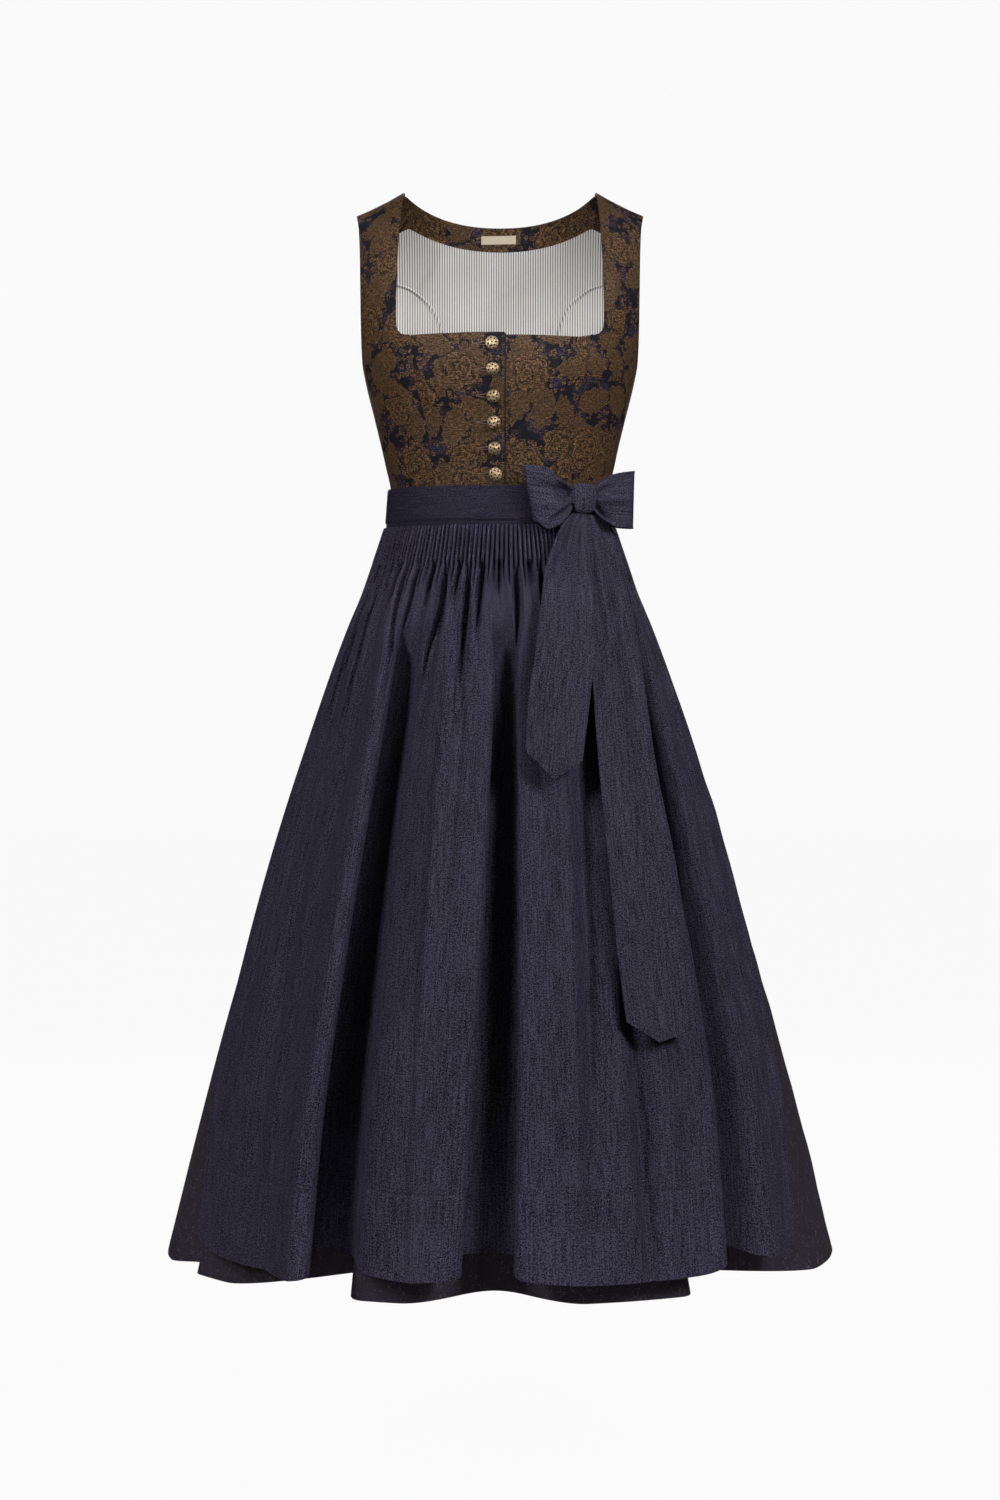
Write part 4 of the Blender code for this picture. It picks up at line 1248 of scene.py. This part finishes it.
def lining_finish():
    """Off-white cotton with fine dark pinstripes."""
    f = Finish("striped_lining", Specular_IOR_Level=0.2)
    u, _, _ = f.split(f.cloth((PINSTRIPE, PINSTRIPE)))
    thread = f.fibres(0.5, 5, 1.0)
    grain = f.fibres(0.6, 0.6, 2.0)
    away = abs(f.maths("FRACT", u) - 0.5) + (thread - 0.5) * 0.05
    stripe = f.soft(0.2 - away, 0.0, 0.06)
    pale = f.mix(grain, (0.60, 0.58, 0.55), (0.78, 0.76, 0.73))
    colour = f.mix(stripe * (0.7 + thread * 0.3), pale, (0.035, 0.033, 0.036))
    return f.done(Base_Color=colour, Roughness=0.85, Normal=f.bump(grain + thread, 0.12, 0.5))


def label_finish():
    f = Finish("label_tape", Specular_IOR_Level=0.2)
    ribs = f.fibres(0.4, 3, 1.0)
    colour = f.mix(ribs, (0.47, 0.41, 0.32), (0.66, 0.59, 0.48))
    return f.done(Base_Color=colour, Roughness=0.8, Normal=f.bump(ribs, 0.15))


def brass_finish(name, dark, light, roughness):
    f = Finish(name, Metallic=0.8)
    wear = f.noise(f.place(1.6), 3.0, 0.6)
    colour = f.mix(f.soft(wear, 0.35, 0.65), dark, light)
    return f.done(Base_Color=colour, Roughness=roughness + wear * 0.2, Normal=f.bump(wear, 0.12))


def thread_finish(name, colour):
    f = Finish(name, Specular_IOR_Level=0.25)
    twist = f.noise(f.place(0.4), 1.0)
    shades = [tuple(value * share for value in colour) for share in (0.6, 1.3)]
    return f.done(Base_Color=f.mix(twist, *shades), Roughness=0.75)


brocade = brocade_finish()
lining = lining_finish()
label_tape = label_finish()
apron_silk = slub_finish("apron_silk", SLUB_DARK, SLUB_LIGHT)
tail_silk = slub_finish("tail_silk", SLUB_DARK, TIE_LIGHT)
bow_silk = slub_finish("bow_silk", SLUB_DARK, TIE_LIGHT, along=True)
band_silk = slub_finish("band_silk", SLUB_DARK, BAND_LIGHT, along=True)
jacquard = jacquard_finish()
brass = brass_finish("brass_wire", (0.34, 0.25, 0.13), (0.80, 0.64, 0.41), 0.3)
# Near-black brass painted as shade: the insides of the button's holes, and the shank under its
# ball.
painted_shade_brass = brass_finish("brass_painted_shade", (0.012, 0.009, 0.006), (0.035, 0.026, 0.016), 0.6)
brown_thread = thread_finish("brown_thread", (0.16, 0.10, 0.06))
navy_thread = thread_finish("navy_thread", (0.05, 0.048, 0.07))
# A near-black thread colour that is painted shade: the shade inside the buttonhole slits and the
# shadow along the placket's edge.
painted_shade_dark = thread_finish("painted_shade_black", (0.006, 0.006, 0.009))

# How each kind of piece is cut: its wall, its materials outside and inside, and how it is held.
Cloth = namedtuple("Cloth", "wall slot finishes held")
FRONT = Cloth(BROCADE_WALL, "brocade", (brocade, lining), "stretched")
BACK = Cloth(BROCADE_WALL, "brocade", (brocade,), "stretched")
FACING = Cloth(LINING, "brocade", (brocade,), "stretched")
LINED = Cloth(LINING, "lining", (lining,), "stretched")
LABEL = Cloth(LABEL_CLOTH, "label", (label_tape,), "laid")
SKIRT_WIDTH = Cloth(SKIRT_CLOTH, "jacquard", (jacquard,), "gathered")
APRON_WIDTH = Cloth(APRON_CLOTH, "slub_silk", (apron_silk,), "gathered")
BAND = Cloth(TIE_CLOTH, "slub_silk", (band_silk,), "stretched")
LOOP = Cloth(TIE_CLOTH, "slub_silk", (bow_silk,), "folded")
TAIL = Cloth(TIE_CLOTH, "slub_silk", (tail_silk,), "hung")


# Bodice

def front_levels(top):
    """Levels of a front panel from its top down, finer round the neckline's corner."""
    arch = [1.0, 0.995, 0.985] + even(36, 0.97, 0.0)
    below = [float(z) - FRONT_RISE_Z for z in np.arange(FRONT_RISE_Z - 2, NECKLINE_Z - 8, -1.0)]
    rest = [float(z) - FRONT_RISE_Z for z in np.linspace(NECKLINE_Z - 10, WAIST_Z, 56)]
    heights = [b for b in arch + below + rest if b < top]
    return [top] + heights


def back_levels(top):
    arch = [1.0, 0.995, 0.985] + even(26, 0.97, 0.5) + even(40, 0.485, 0.0)[:-1]
    below = [float(z) - BACK_RISE_Z for z in np.linspace(BACK_RISE_Z, WAIST_Z, 80)]
    return [top] + [b for b in arch + below if b < top]


def shoulder_roll(sheet, depth=0.7, width=1.8):
    return -depth * trough(sheet.down, width)


def make_fronts():
    whole = front_levels(1.0)
    for name, place, inner, outer, shift in (
        ("bodice_side_front_left", side_front, "first", "last", (140, 20)),
        ("bodice_side_front_right", other_side(side_front), "last", "first", (-130, 35)),
    ):
        sheet = Sheet(on_body(front, place), whole, edged(78, 26))
        relief = sunk_seam(sheet, inner, NECKLINE_Z) + sunk_seam(sheet, outer, SIDE_SEAM_TOP_Z)
        relief += rippled(sheet, 0.5, 11, 17, shift[1]) * still_at_seams(sheet)
        sheet.lift(relief + shoulder_roll(sheet))
        sew(name, sheet, FRONT, shift=shift)

    right_top = NECKLINE_Z - FRONT_RISE_Z
    place = other_side(centre_front(-OVERLAP_EDGE_X))
    sheet = Sheet(on_body(raised_front, place), front_levels(right_top), edged(99, 34))
    flat_placket = np.clip((sheet.from_side("last") - 34) / 16, 0, 1)
    ripples = rippled(sheet, 0.4, 12, 15, 2) * flat_placket * still_at_seams(sheet)
    relief = sunk_seam(sheet, "first") + ripples
    relief -= 0.5 * trough(sheet.from_side("last") - (OVERLAP_EDGE_X - PLACKET_STITCH_X), 0.8)
    sheet.lift(relief)
    sew("bodice_front_right", sheet, FRONT, shift=(-46, 12))
    left_top = right_top - OVERLAP_HIGHER

    def left_place(a, b):
        """The lower neckline rises to the side front's corner."""
        rise = OVERLAP_HIGHER * ease((a - 0.84) / 0.16) * ease(1 + (b - left_top) / 12)
        return centre_front(UNDERLAP_EDGE_X)(a, b + rise)

    sheet = Sheet(on_body(front, left_place), front_levels(left_top), edged(114, 38))
    sheet.lift(sunk_seam(sheet, "last") + rippled(sheet, 0.4, 12, 15, 5) * still_at_seams(sheet))
    sew("bodice_front_left", sheet, FRONT, shift=(44, -9))


def back_seams(sheet):
    return sum(sunk_seam(sheet, side, BACK_SEAM_TOP_Z, 1) for side in ("first", "last"))


def make_backs():
    columns = [2 * share - 1 for share in edged(190, 60)]
    sheet = Sheet(on_body(back, centre_back), back_levels(1.0), columns)
    sheet.lift(back_seams(sheet) + rippled(sheet, 0.4, 13, 18, 3) * still_at_seams(sheet))
    sew("bodice_centre_back", sheet, BACK, shift=(310, 0))
    levels = back_levels(0.25)
    for name, place, seam, outer, shift in (
        ("right", side_back, "first", "last", (430, 14)),
        ("left", other_side(side_back), "last", "first", (-420, -23)),
    ):
        sheet = Sheet(on_body(back, place), levels, edged(88, 28))
        relief = sunk_seam(sheet, seam) + sunk_seam(sheet, outer, SIDE_SEAM_TOP_Z, 1)
        sheet.lift(relief + rippled(sheet, 0.4, 12, 16, shift[0]) * still_at_seams(sheet))
        sew("bodice_side_back_" + name, sheet, BACK, shift=shift)


def make_lining():
    depth = BROCADE + SEAM_GAP
    under = inset(back, depth)
    columns = [2 * share - 1 for share in edged(190, 46)]
    sheet = Sheet(on_body(under, centre_back), [b for b in back_levels(1.0) if b >= 0.5], columns)
    sew("neck_facing", sheet, FACING, ["bodice_centre_back_cloth"], shift=(90, 160))
    sheet = Sheet(on_body(under, centre_back), back_levels(0.505), columns)
    sheet.lift(back_seams(sheet))
    sew("lining_centre_back", sheet, LINED, ["bodice_centre_back_cloth"])
    levels = back_levels(0.25)
    for name, place, seam, outer in (
        ("right", side_back, "first", "last"), ("left", other_side(side_back), "last", "first"),
    ):
        sheet = Sheet(on_body(under, place), levels, edged(88, 22))
        sheet.lift(sunk_seam(sheet, seam) + sunk_seam(sheet, outer, SIDE_SEAM_TOP_Z, 1))
        sew("lining_side_back_" + name, sheet, LINED, [f"bodice_side_back_{name}_cloth"])
    tape = inset(label_surface, depth + LINING + LABEL_GAP - 0.1)
    sheet = Sheet(tape, even(10, 1.0, 0.0), even(30, -1, 1))
    sheet.lift(0.25 * trough(sheet.down - 0.5 * LABEL_HEIGHT, 3.6))
    sew("neck_label", sheet, LABEL, ["neck_facing_cloth"])


# Stitches

def stitch_line(name, path, finish, slot, pitch=2.6, length=1.8, width=0.5, height=0.28):
    """Raised stitches along a path that gives a point and its outward normal at each millimetre."""
    points, faces = [], []
    places = [path(at) for at in np.arange(0, path.length, pitch)]
    ahead = [path(at + length) for at in np.arange(0, path.length, pitch)]
    for (start, normal), (end, _) in zip(places, ahead):
        side = np.cross(normal, end - start)
        side *= width / 2 / max(np.linalg.norm(side), 1e-9)
        middle = (start + end) / 2 + normal * height
        base = len(points)
        points += [start, middle - side, end, middle + side, middle + normal * height * 0.4]
        points += [middle - normal * height * 2]
        for i in range(4):
            a, b = base + i, base + (i + 1) % 4
            faces += [(a, b, base + 4), (b, a, base + 5)]
    piece = add_mesh(name, points, faces)
    face_outward(piece)
    piece.data.shade_smooth()
    return dress(piece, slot, (finish,))


class Path:
    """A way along points with outward normals, measured in millimetres."""

    def __init__(self, points, normals):
        self.points, self.normals = np.array(points), np.array(normals)
        steps = np.linalg.norm(np.diff(self.points, axis=0), axis=1)
        self.way = np.concatenate(([0], np.cumsum(steps)))
        self.length = self.way[-1]

    def __call__(self, at):
        point = np.array([np.interp(at, self.way, self.points[:, i]) for i in range(3)])
        normal = np.array([np.interp(at, self.way, self.normals[:, i]) for i in range(3)])
        return point, normal / np.linalg.norm(normal)


def path_over(surface, places, lift=0.0):
    outer, raised = inset(surface, -lift), inset(surface, -lift - 1.0)
    points = [outer(*place) for place in places]
    return Path(points, [raised(*place) - point for place, point in zip(places, points)])


def make_placket_edge():
    """Stitches along the placket, and a dark cord on its edge, painted as the shadow where the
    front laps over.
    """
    heights = np.linspace(NECKLINE_Z - 1.5, WAISTBAND_TOP_Z, 90)
    path = path_over(raised_front, [placket_place(PLACKET_STITCH_X, z) for z in heights], -0.35)
    stitch_line("placket_stitches", path, brown_thread, "brocade", 2.4, 1.5)
    edge = inset(raised_front, 0.2)
    points = [edge(*placket_place(OVERLAP_EDGE_X + 0.2, z)) for z in heights]
    cord("placket_shadow_cord", points, PLACKET_EDGE_RADIUS, painted_shade_dark)


def waistband_surface():
    return band_surface(WAISTBAND_TOP_Z, WAISTBAND_TOP_Z - APRON_TOP_Z - SEAM_GAP, 0)


def make_apron_stitches(apron):
    row = int(np.argmin(abs(apron.levels - HEM_LINE_Z)))
    hem = Path(apron.points[row, 2:-2], apron.normals[row, 2:-2])
    stitch_line("apron_hem_stitches", hem, navy_thread, "slub_silk", 3.2, 1.9, 0.6, 0.35)
    places = [(a, 0.05) for a in even(240, -WAISTBAND_HALF_ANGLE + 1, WAISTBAND_HALF_ANGLE - 1)]
    path = path_over(waistband_surface(), places)
    stitch_line("waistband_stitches", path, navy_thread, "slub_silk", 2.6, 1.5)


# Buttons and their holes

def button_place(number):
    share = number / (BUTTON_COUNT - 1)
    return tuple(lerp(BUTTON_TOP[i], BUTTON_BOTTOM[i], share) for i in range(2))


def ball_button():
    """One ball button at the origin, its foot down: body, shank, wires and ringed domes; the domes
    are painted shade that stands for its dark holes, and the shank under the ball takes the same
    dark colour.
    """
    parts = []

    def add(kind, finish, scale=(1, 1, 1), **settings):
        select_only()
        getattr(bpy.ops.mesh, f"primitive_{kind}_add")(**settings)
        piece = bpy.context.object
        piece.scale = scale
        bpy.ops.object.transform_apply(location=True, rotation=True, scale=True)
        piece.data.materials.append(finish)
        parts.append(piece)

    r, middle, tall = BUTTON_RADIUS * MM, BUTTON_MIDDLE * MM, BUTTON_FLATNESS
    add("uv_sphere", brass, (0.98, 0.98, tall * 0.98), radius=r, segments=32, ring_count=16,
        location=(0, 0, middle))
    add("cylinder", painted_shade_brass, radius=2.1 * MM, depth=1.6 * MM, vertices=16,
        location=(0, 0, 0.8 * MM))

    def on_ball(tilt, turn, lift=1.0):
        flat = r * lift * math.sin(tilt)
        height = middle + r * lift * tall * math.cos(tilt)
        return Vector((flat * math.cos(turn), flat * math.sin(turn), height))

    for tilt, wire in BUTTON_WIRES:
        tilt = math.radians(tilt)
        add("torus", brass, major_radius=r * math.sin(tilt), minor_radius=wire * MM,
            major_segments=40, minor_segments=8, location=(0, 0, on_ball(tilt, 0).z))
    for count, tilt, radius in BUTTON_DOMES:
        tilt = math.radians(tilt)
        slope = math.atan2(math.sin(tilt) * tall, math.cos(tilt))
        for at in range(count):
            turn = at * 2 * math.pi / count
            add("uv_sphere", painted_shade_brass, (1, 1, 0.35), radius=radius * MM, segments=14,
                ring_count=8, location=on_ball(tilt, turn, 0.99), rotation=(0, slope, turn))
            add("torus", brass, major_radius=(radius + 0.12) * MM, minor_radius=0.16 * MM,
                major_segments=18, minor_segments=6, location=on_ball(tilt, turn),
                rotation=(0, slope, turn))
    select_only(*parts)
    bpy.ops.object.join()
    button = bpy.context.object
    button.data.shade_smooth()
    button.data.set_sharp_from_angle(angle=math.radians(45))
    return button


def make_buttons():
    pattern = ball_button()
    for number in range(BUTTON_COUNT):
        place = placket_place(*button_place(number))
        foot = inset(raised_front, -BUTTON_GAP)(*place)
        normal = Vector(foot - raised_front(*place)).normalized()
        name = f"button_{number + 1}"
        button = place_in_scene(name + "_ball", pattern.data.copy())
        turn = normal.to_track_quat("Z", "Y").to_matrix().to_4x4()
        turn = turn @ Matrix.Rotation(number * BUTTON_TURN, 4, "Z")
        button.data.transform(Matrix.Translation(Vector(foot) * MM) @ turn)
        dress(button, "antique_brass", (), [name])
    bpy.data.objects.remove(pattern)


def buttonhole_rim(number, steps=24):
    """Places round a buttonhole, wider where the button's shank pulls it open."""
    x, z = button_place(number)
    start = x - BUTTONHOLE_START
    for side, turns in ((1, range(steps)), (-1, range(steps, 0, -1))):
        for at in turns:
            t = at / steps
            pulled = 1.9 * (1 - t) ** 1.6 * (0.35 + 0.65 * ease(4 * t))
            half = 0.35 + pulled + 0.2 * math.sin(math.pi * t)
            rim_z = z + side * half * (1 if t < 1 else 0)
            yield placket_place(lerp(start, start - BUTTONHOLE_LENGTH, t), rim_z)


def make_buttonholes():
    """A slit beside each button, a sheet painted dark as the shade in its opening, with a worked
    edge, pulled open by the button.
    """
    cut, worked = inset(raised_front, -0.45), inset(raised_front, -0.5)
    for number in range(BUTTON_COUNT):
        x, z = button_place(number)
        middle = cut(*placket_place(x - BUTTONHOLE_START - BUTTONHOLE_LENGTH / 2, z))
        ring = [cut(*place) for place in buttonhole_rim(number)]
        count = len(ring)
        faces = [(i, (i + 1) % count, count) for i in range(count)]
        slit = add_mesh(f"buttonhole_{number + 1}_slit", ring + [middle], faces)
        apply_modifier(slit, "SOLIDIFY", thickness=0.1 * MM, offset=0)
        dress(slit, "brocade", (painted_shade_dark,))
        ring = [worked(*place) for place in buttonhole_rim(number)]
        cord(f"buttonhole_{number + 1}_edge", ring, 0.34, brown_thread, closed=True)


# Skirt and apron

def make_skirt():
    half = SKIRT.columns // 4
    levels = even(30, SKIRT.top_z, -520) + even(74, -527, SKIRT.hem_z)
    for name, first in (("skirt_front", half), ("skirt_back", 3 * half)):
        sheet = Sheet(skirt_surface, levels, even(270, first + 0.004, first + 2 * half - 0.004))
        creases = [c._replace(at=c.at + turn) for c in SKIRT_CREASES for turn in (0, SKIRT.columns)]
        relief = creased(sheet, creases) + rippled(sheet, 0.7, 14, 60, first)
        sheet.lift(relief - 0.6 * both_edges(sheet, 2.5))
        threads = even_threads(sheet, SKIRT.gather_end)
        sew(name, sheet, SKIRT_WIDTH, ["bodice_centre_back_cloth"], threads, (0, first * 30))


def make_apron():
    levels = even(18, APRON_TOP_Z, SMOCKING_END_Z) + even(14, -407, -447)
    levels += even(52, -453, HEM_LINE_Z + 6)
    levels += [HEM_LINE_Z + step for step in (3.0, 1.5, 0.0, -1.5, -3.0)]
    levels += even(9, HEM_LINE_Z - 8, APRON_HEM_Z)
    columns = [pleat + share for pleat in range(APRON.columns) for share in (0, 0.32, 0.5, 0.68)]
    sheet = Sheet(smocked_surface, levels, [*map(float, columns), float(APRON.columns)])
    relief = creased(sheet, APRON_CREASES)
    soft = np.array([ease((-460 - z) / 150) for z in levels])[:, None]
    relief += rippled(sheet, 0.9, 13, 70, 4) * soft
    turned_up = np.array([ease((HEM_LINE_Z + 1.0 - z) / 2.0) for z in levels])[:, None]
    line = trough(np.array(levels) - HEM_LINE_Z - 0.5, 1.6)[:, None]
    relief += 0.35 * turned_up - 0.7 * line
    for side in ("first", "last"):
        relief -= 0.5 * trough(sheet.from_side(side) - 12, 2.2)
    sheet.lift(relief)
    below = ["apron_waistband_cloth", "skirt_front_cloth"]
    sew("apron_panel", sheet, APRON_WIDTH, below, even_threads(sheet, GATHERS_CALM_Z))
    return sheet


def rolled(sheet, depth=0.5, width=1.0):
    """A folded edge along the first and the last row."""
    return -depth * (trough(sheet.down, width) + trough(sheet.down[-1:] - sheet.down, width))


def across_band(count):
    near = (0.03, 0.07, 0.13)
    return [1.0, *[1 - n for n in near], *even(count, 0.82, 0.18), *reversed(near), 0.0]


def make_bands():
    angles = even(200, -WAISTBAND_HALF_ANGLE, WAISTBAND_HALF_ANGLE)
    sheet = Sheet(waistband_surface(), across_band(6), angles)
    sheet.lift(rolled(sheet))
    sew("apron_waistband", sheet, BAND, ["skirt_front_cloth"])
    surface = band_surface(TIE_TOP_Z, TIE_HEIGHT, TIE_CLOTH + SEAM_GAP)
    sheet = Sheet(surface, across_band(12), even(360, -180, 180), closed=True)
    share = sheet.down / sheet.down[-1:]
    angle = np.radians(sheet.columns)[None, :]
    pull = 0.5 + 0.5 * np.cos(angle - math.radians(50))
    folds = 0.5 * np.sin(9 * share + 1.5 * np.sin(2 * angle)) * np.sin(np.pi * share) * pull ** 2
    sheet.lift(rolled(sheet) + folds)
    sew("apron_tie", sheet, BAND, ["apron_waistband_cloth"])


# Bow

def make_knot():
    """The wrap that holds the bow, with the soft folds of a strip drawn tight."""
    select_only()
    bpy.ops.mesh.primitive_uv_sphere_add(segments=72, ring_count=48, radius=1)
    knot = bpy.context.object
    knot.name = knot.data.name = "bow_knot_wrap"
    plan = {}
    for vertex in knot.data.vertices:
        x, y, z = vertex.co
        reach = sum(abs(value) ** KNOT_SQUARENESS for value in vertex.co) ** (1 / KNOT_SQUARENESS)
        fold = 0.9 * math.cos(9.0 * x / reach + 0.7 * z) + 0.5 * math.cos(17 * x / reach + 1.0)
        front = max(y, 0) / reach
        wide = 1.0 + 0.08 * z / reach
        swell = 1 + 0.035 * fold * (0.3 + front)
        along = x / reach * KNOT_SIZE[0] / 2 * wide
        outward = y / reach * KNOT_SIZE[1] / 2 * swell
        up = z / reach * KNOT_SIZE[2] / 2
        vertex.co = Vector(in_bow(along, outward, up)) * MM
        plan[vertex.index] = (up * MM, along * MM)
    face_outward(knot)
    for layer in list(knot.data.uv_layers):
        knot.data.uv_layers.remove(layer)
    cut = knot.data.uv_layers.new(name="cut")
    for corner in knot.data.loops:
        cut.data[corner.index].uv = plan[corner.vertex_index]
    knot.data.shade_smooth()
    dress(knot, "slub_silk", (bow_silk,), ["bow_knot"])


def make_bow():
    rows = even(34, 1.0, 0.0)
    for name, outline, side, flare, dents in (
        ("bow_loop_centre", LOOP_CENTRE, -1, LOOP_CENTRE_FLARE, LOOP_CENTRE_DENTS),
        ("bow_loop_side", LOOP_SIDE, 1, LOOP_SIDE_FLARE, LOOP_SIDE_DENTS),
    ):
        sheet = Sheet(loop_surface(outline, side, flare, dents), rows, even(90))
        sheet.lift(rolled(sheet, 0.4, 0.9))
        sew(name, sheet, LOOP, ["bow_knot_wrap"])
    make_knot()
    for name, table, point, layer, pleats in (
        ("bow_tail_long", TAIL_LONG, TAIL_LONG_POINT, TAIL_LONG_LAYER, 2.4),
        ("bow_tail_short", TAIL_SHORT, TAIL_SHORT_POINT, TAIL_SHORT_LAYER, 3.2),
    ):
        surface = tail_surface(table, point, layer, pleats)
        sheet = Sheet(surface, even(110, 1.0, 0.0), edged(60, 26, near=(0.6, 1.4, 2.6)))
        sheet.lift(rippled(sheet, 0.5, 12, 30, layer) - 0.45 * both_edges(sheet, 1.0))
        below, threads = ["bow_knot_wrap", "apron_panel_cloth"], TAIL_WIDTH * sheet.columns
        sew(name, sheet, TAIL, below, threads, (layer * 37, layer * 11))


# Stage, lights and camera

STAGE_WHITE = 0.955
FLOOR_Z = -1.38
FLOOR_GLOW = 0.95
FILL = 0.046
CAMERA_PLACE = (0, -2.6, -0.6)
CAMERA_LENS, CAMERA_FILM = 58.05, 36
DRESS_MIDDLE, BODICE_MIDDLE, HEM_MIDDLE = (0, 0, -0.35), (0, 0, -0.15), (0, 0, -1.15)

# A softbox's spread is in degrees.
Softbox = namedtuple("Softbox", "name place aim width height power spread")
SOFTBOXES = rows_of(
    Softbox,
    ("left_softbox", (-2.5, -2.1, 1.3), DRESS_MIDDLE, 0.9, 1.6, 62, 180),
    ("right_softbox", (2.4, -2.2, 1.4), DRESS_MIDDLE, 0.9, 1.6, 84, 180),
    ("back_left_softbox", (-0.4, 3.2, 0.7), DRESS_MIDDLE, 0.9, 1.6, 36, 180),
    ("back_right_softbox", (0.4, 3.2, 0.7), DRESS_MIDDLE, 0.9, 1.6, 26, 180),
    ("bodice_left_softbox", (-0.95, -3.1, 0.5), BODICE_MIDDLE, 0.4, 0.4, 0.22, 10),
    ("bodice_right_softbox", (0.95, -3.1, 0.5), BODICE_MIDDLE, 0.4, 0.4, 0.22, 10),
    ("hem_softbox", (0, -3.0, -1.15), HEM_MIDDLE, 1.6, 0.2, 0.2, 9),
)


def make_world():
    """A bright backdrop for the camera, and a dim even fill on the dress."""
    world = bpy.data.worlds.new("studio")
    bpy.context.scene.world = world
    world.use_nodes = True
    tree = world.node_tree
    backdrop = tree.nodes["Background"]
    backdrop.inputs["Color"].default_value = (STAGE_WHITE, STAGE_WHITE, STAGE_WHITE, 1)
    backdrop.inputs["Strength"].default_value = 1.0
    fill = tree.nodes.new("ShaderNodeBackground")
    fill.inputs["Color"].default_value = (1, 1, 1, 1)
    fill.inputs["Strength"].default_value = FILL
    path = tree.nodes.new("ShaderNodeLightPath")
    mix = tree.nodes.new("ShaderNodeMixShader")
    tree.links.new(path.outputs["Is Camera Ray"], mix.inputs[0])
    tree.links.new(fill.outputs[0], mix.inputs[1])
    tree.links.new(backdrop.outputs[0], mix.inputs[2])
    tree.links.new(mix.outputs[0], tree.nodes["World Output"].inputs["Surface"])


def make_floor():
    select_only()
    bpy.ops.mesh.primitive_plane_add(size=40, location=(0, 0, FLOOR_Z))
    floor = bpy.context.object
    floor.name = "floor"
    floor.visible_diffuse = floor.visible_glossy = False
    f = Finish("pale_floor", Roughness=0.9, Specular_IOR_Level=0.0, Emission_Strength=FLOOR_GLOW)
    f.shader.inputs["Base Color"].default_value = (0.02, 0.02, 0.02, 1)
    f.shader.inputs["Emission Color"].default_value = (1, 1, 1, 1)
    floor.data.materials.append(f.material)


def make_lights():
    for box in SOFTBOXES:
        light = bpy.data.lights.new(box.name, "AREA")
        light.shape = "RECTANGLE"
        light.size, light.size_y, light.energy = box.width, box.height, box.power
        light.spread = math.radians(box.spread)
        lamp = place_in_scene(box.name, light)
        lamp.location = box.place
        lamp.rotation_mode = "QUATERNION"
        aim = Vector(box.aim) - Vector(box.place)
        lamp.rotation_quaternion = aim.to_track_quat("-Z", "Y")


def make_camera():
    camera = bpy.data.cameras.new("camera")
    camera.lens, camera.sensor_width, camera.sensor_fit = CAMERA_LENS, CAMERA_FILM, "AUTO"
    eye = place_in_scene("camera", camera)
    eye.location = CAMERA_PLACE
    eye.rotation_euler = (math.pi / 2, 0, 0)
    bpy.context.scene.camera = eye


bpy.context.scene.view_settings.view_transform = "Standard"
make_camera()
make_world()
make_floor()
make_lights()
make_fronts()
make_backs()
make_lining()
make_buttons()
make_buttonholes()
make_skirt()
apron_sheet = make_apron()
make_bands()
make_bow()
make_placket_edge()
make_apron_stitches(apron_sheet)
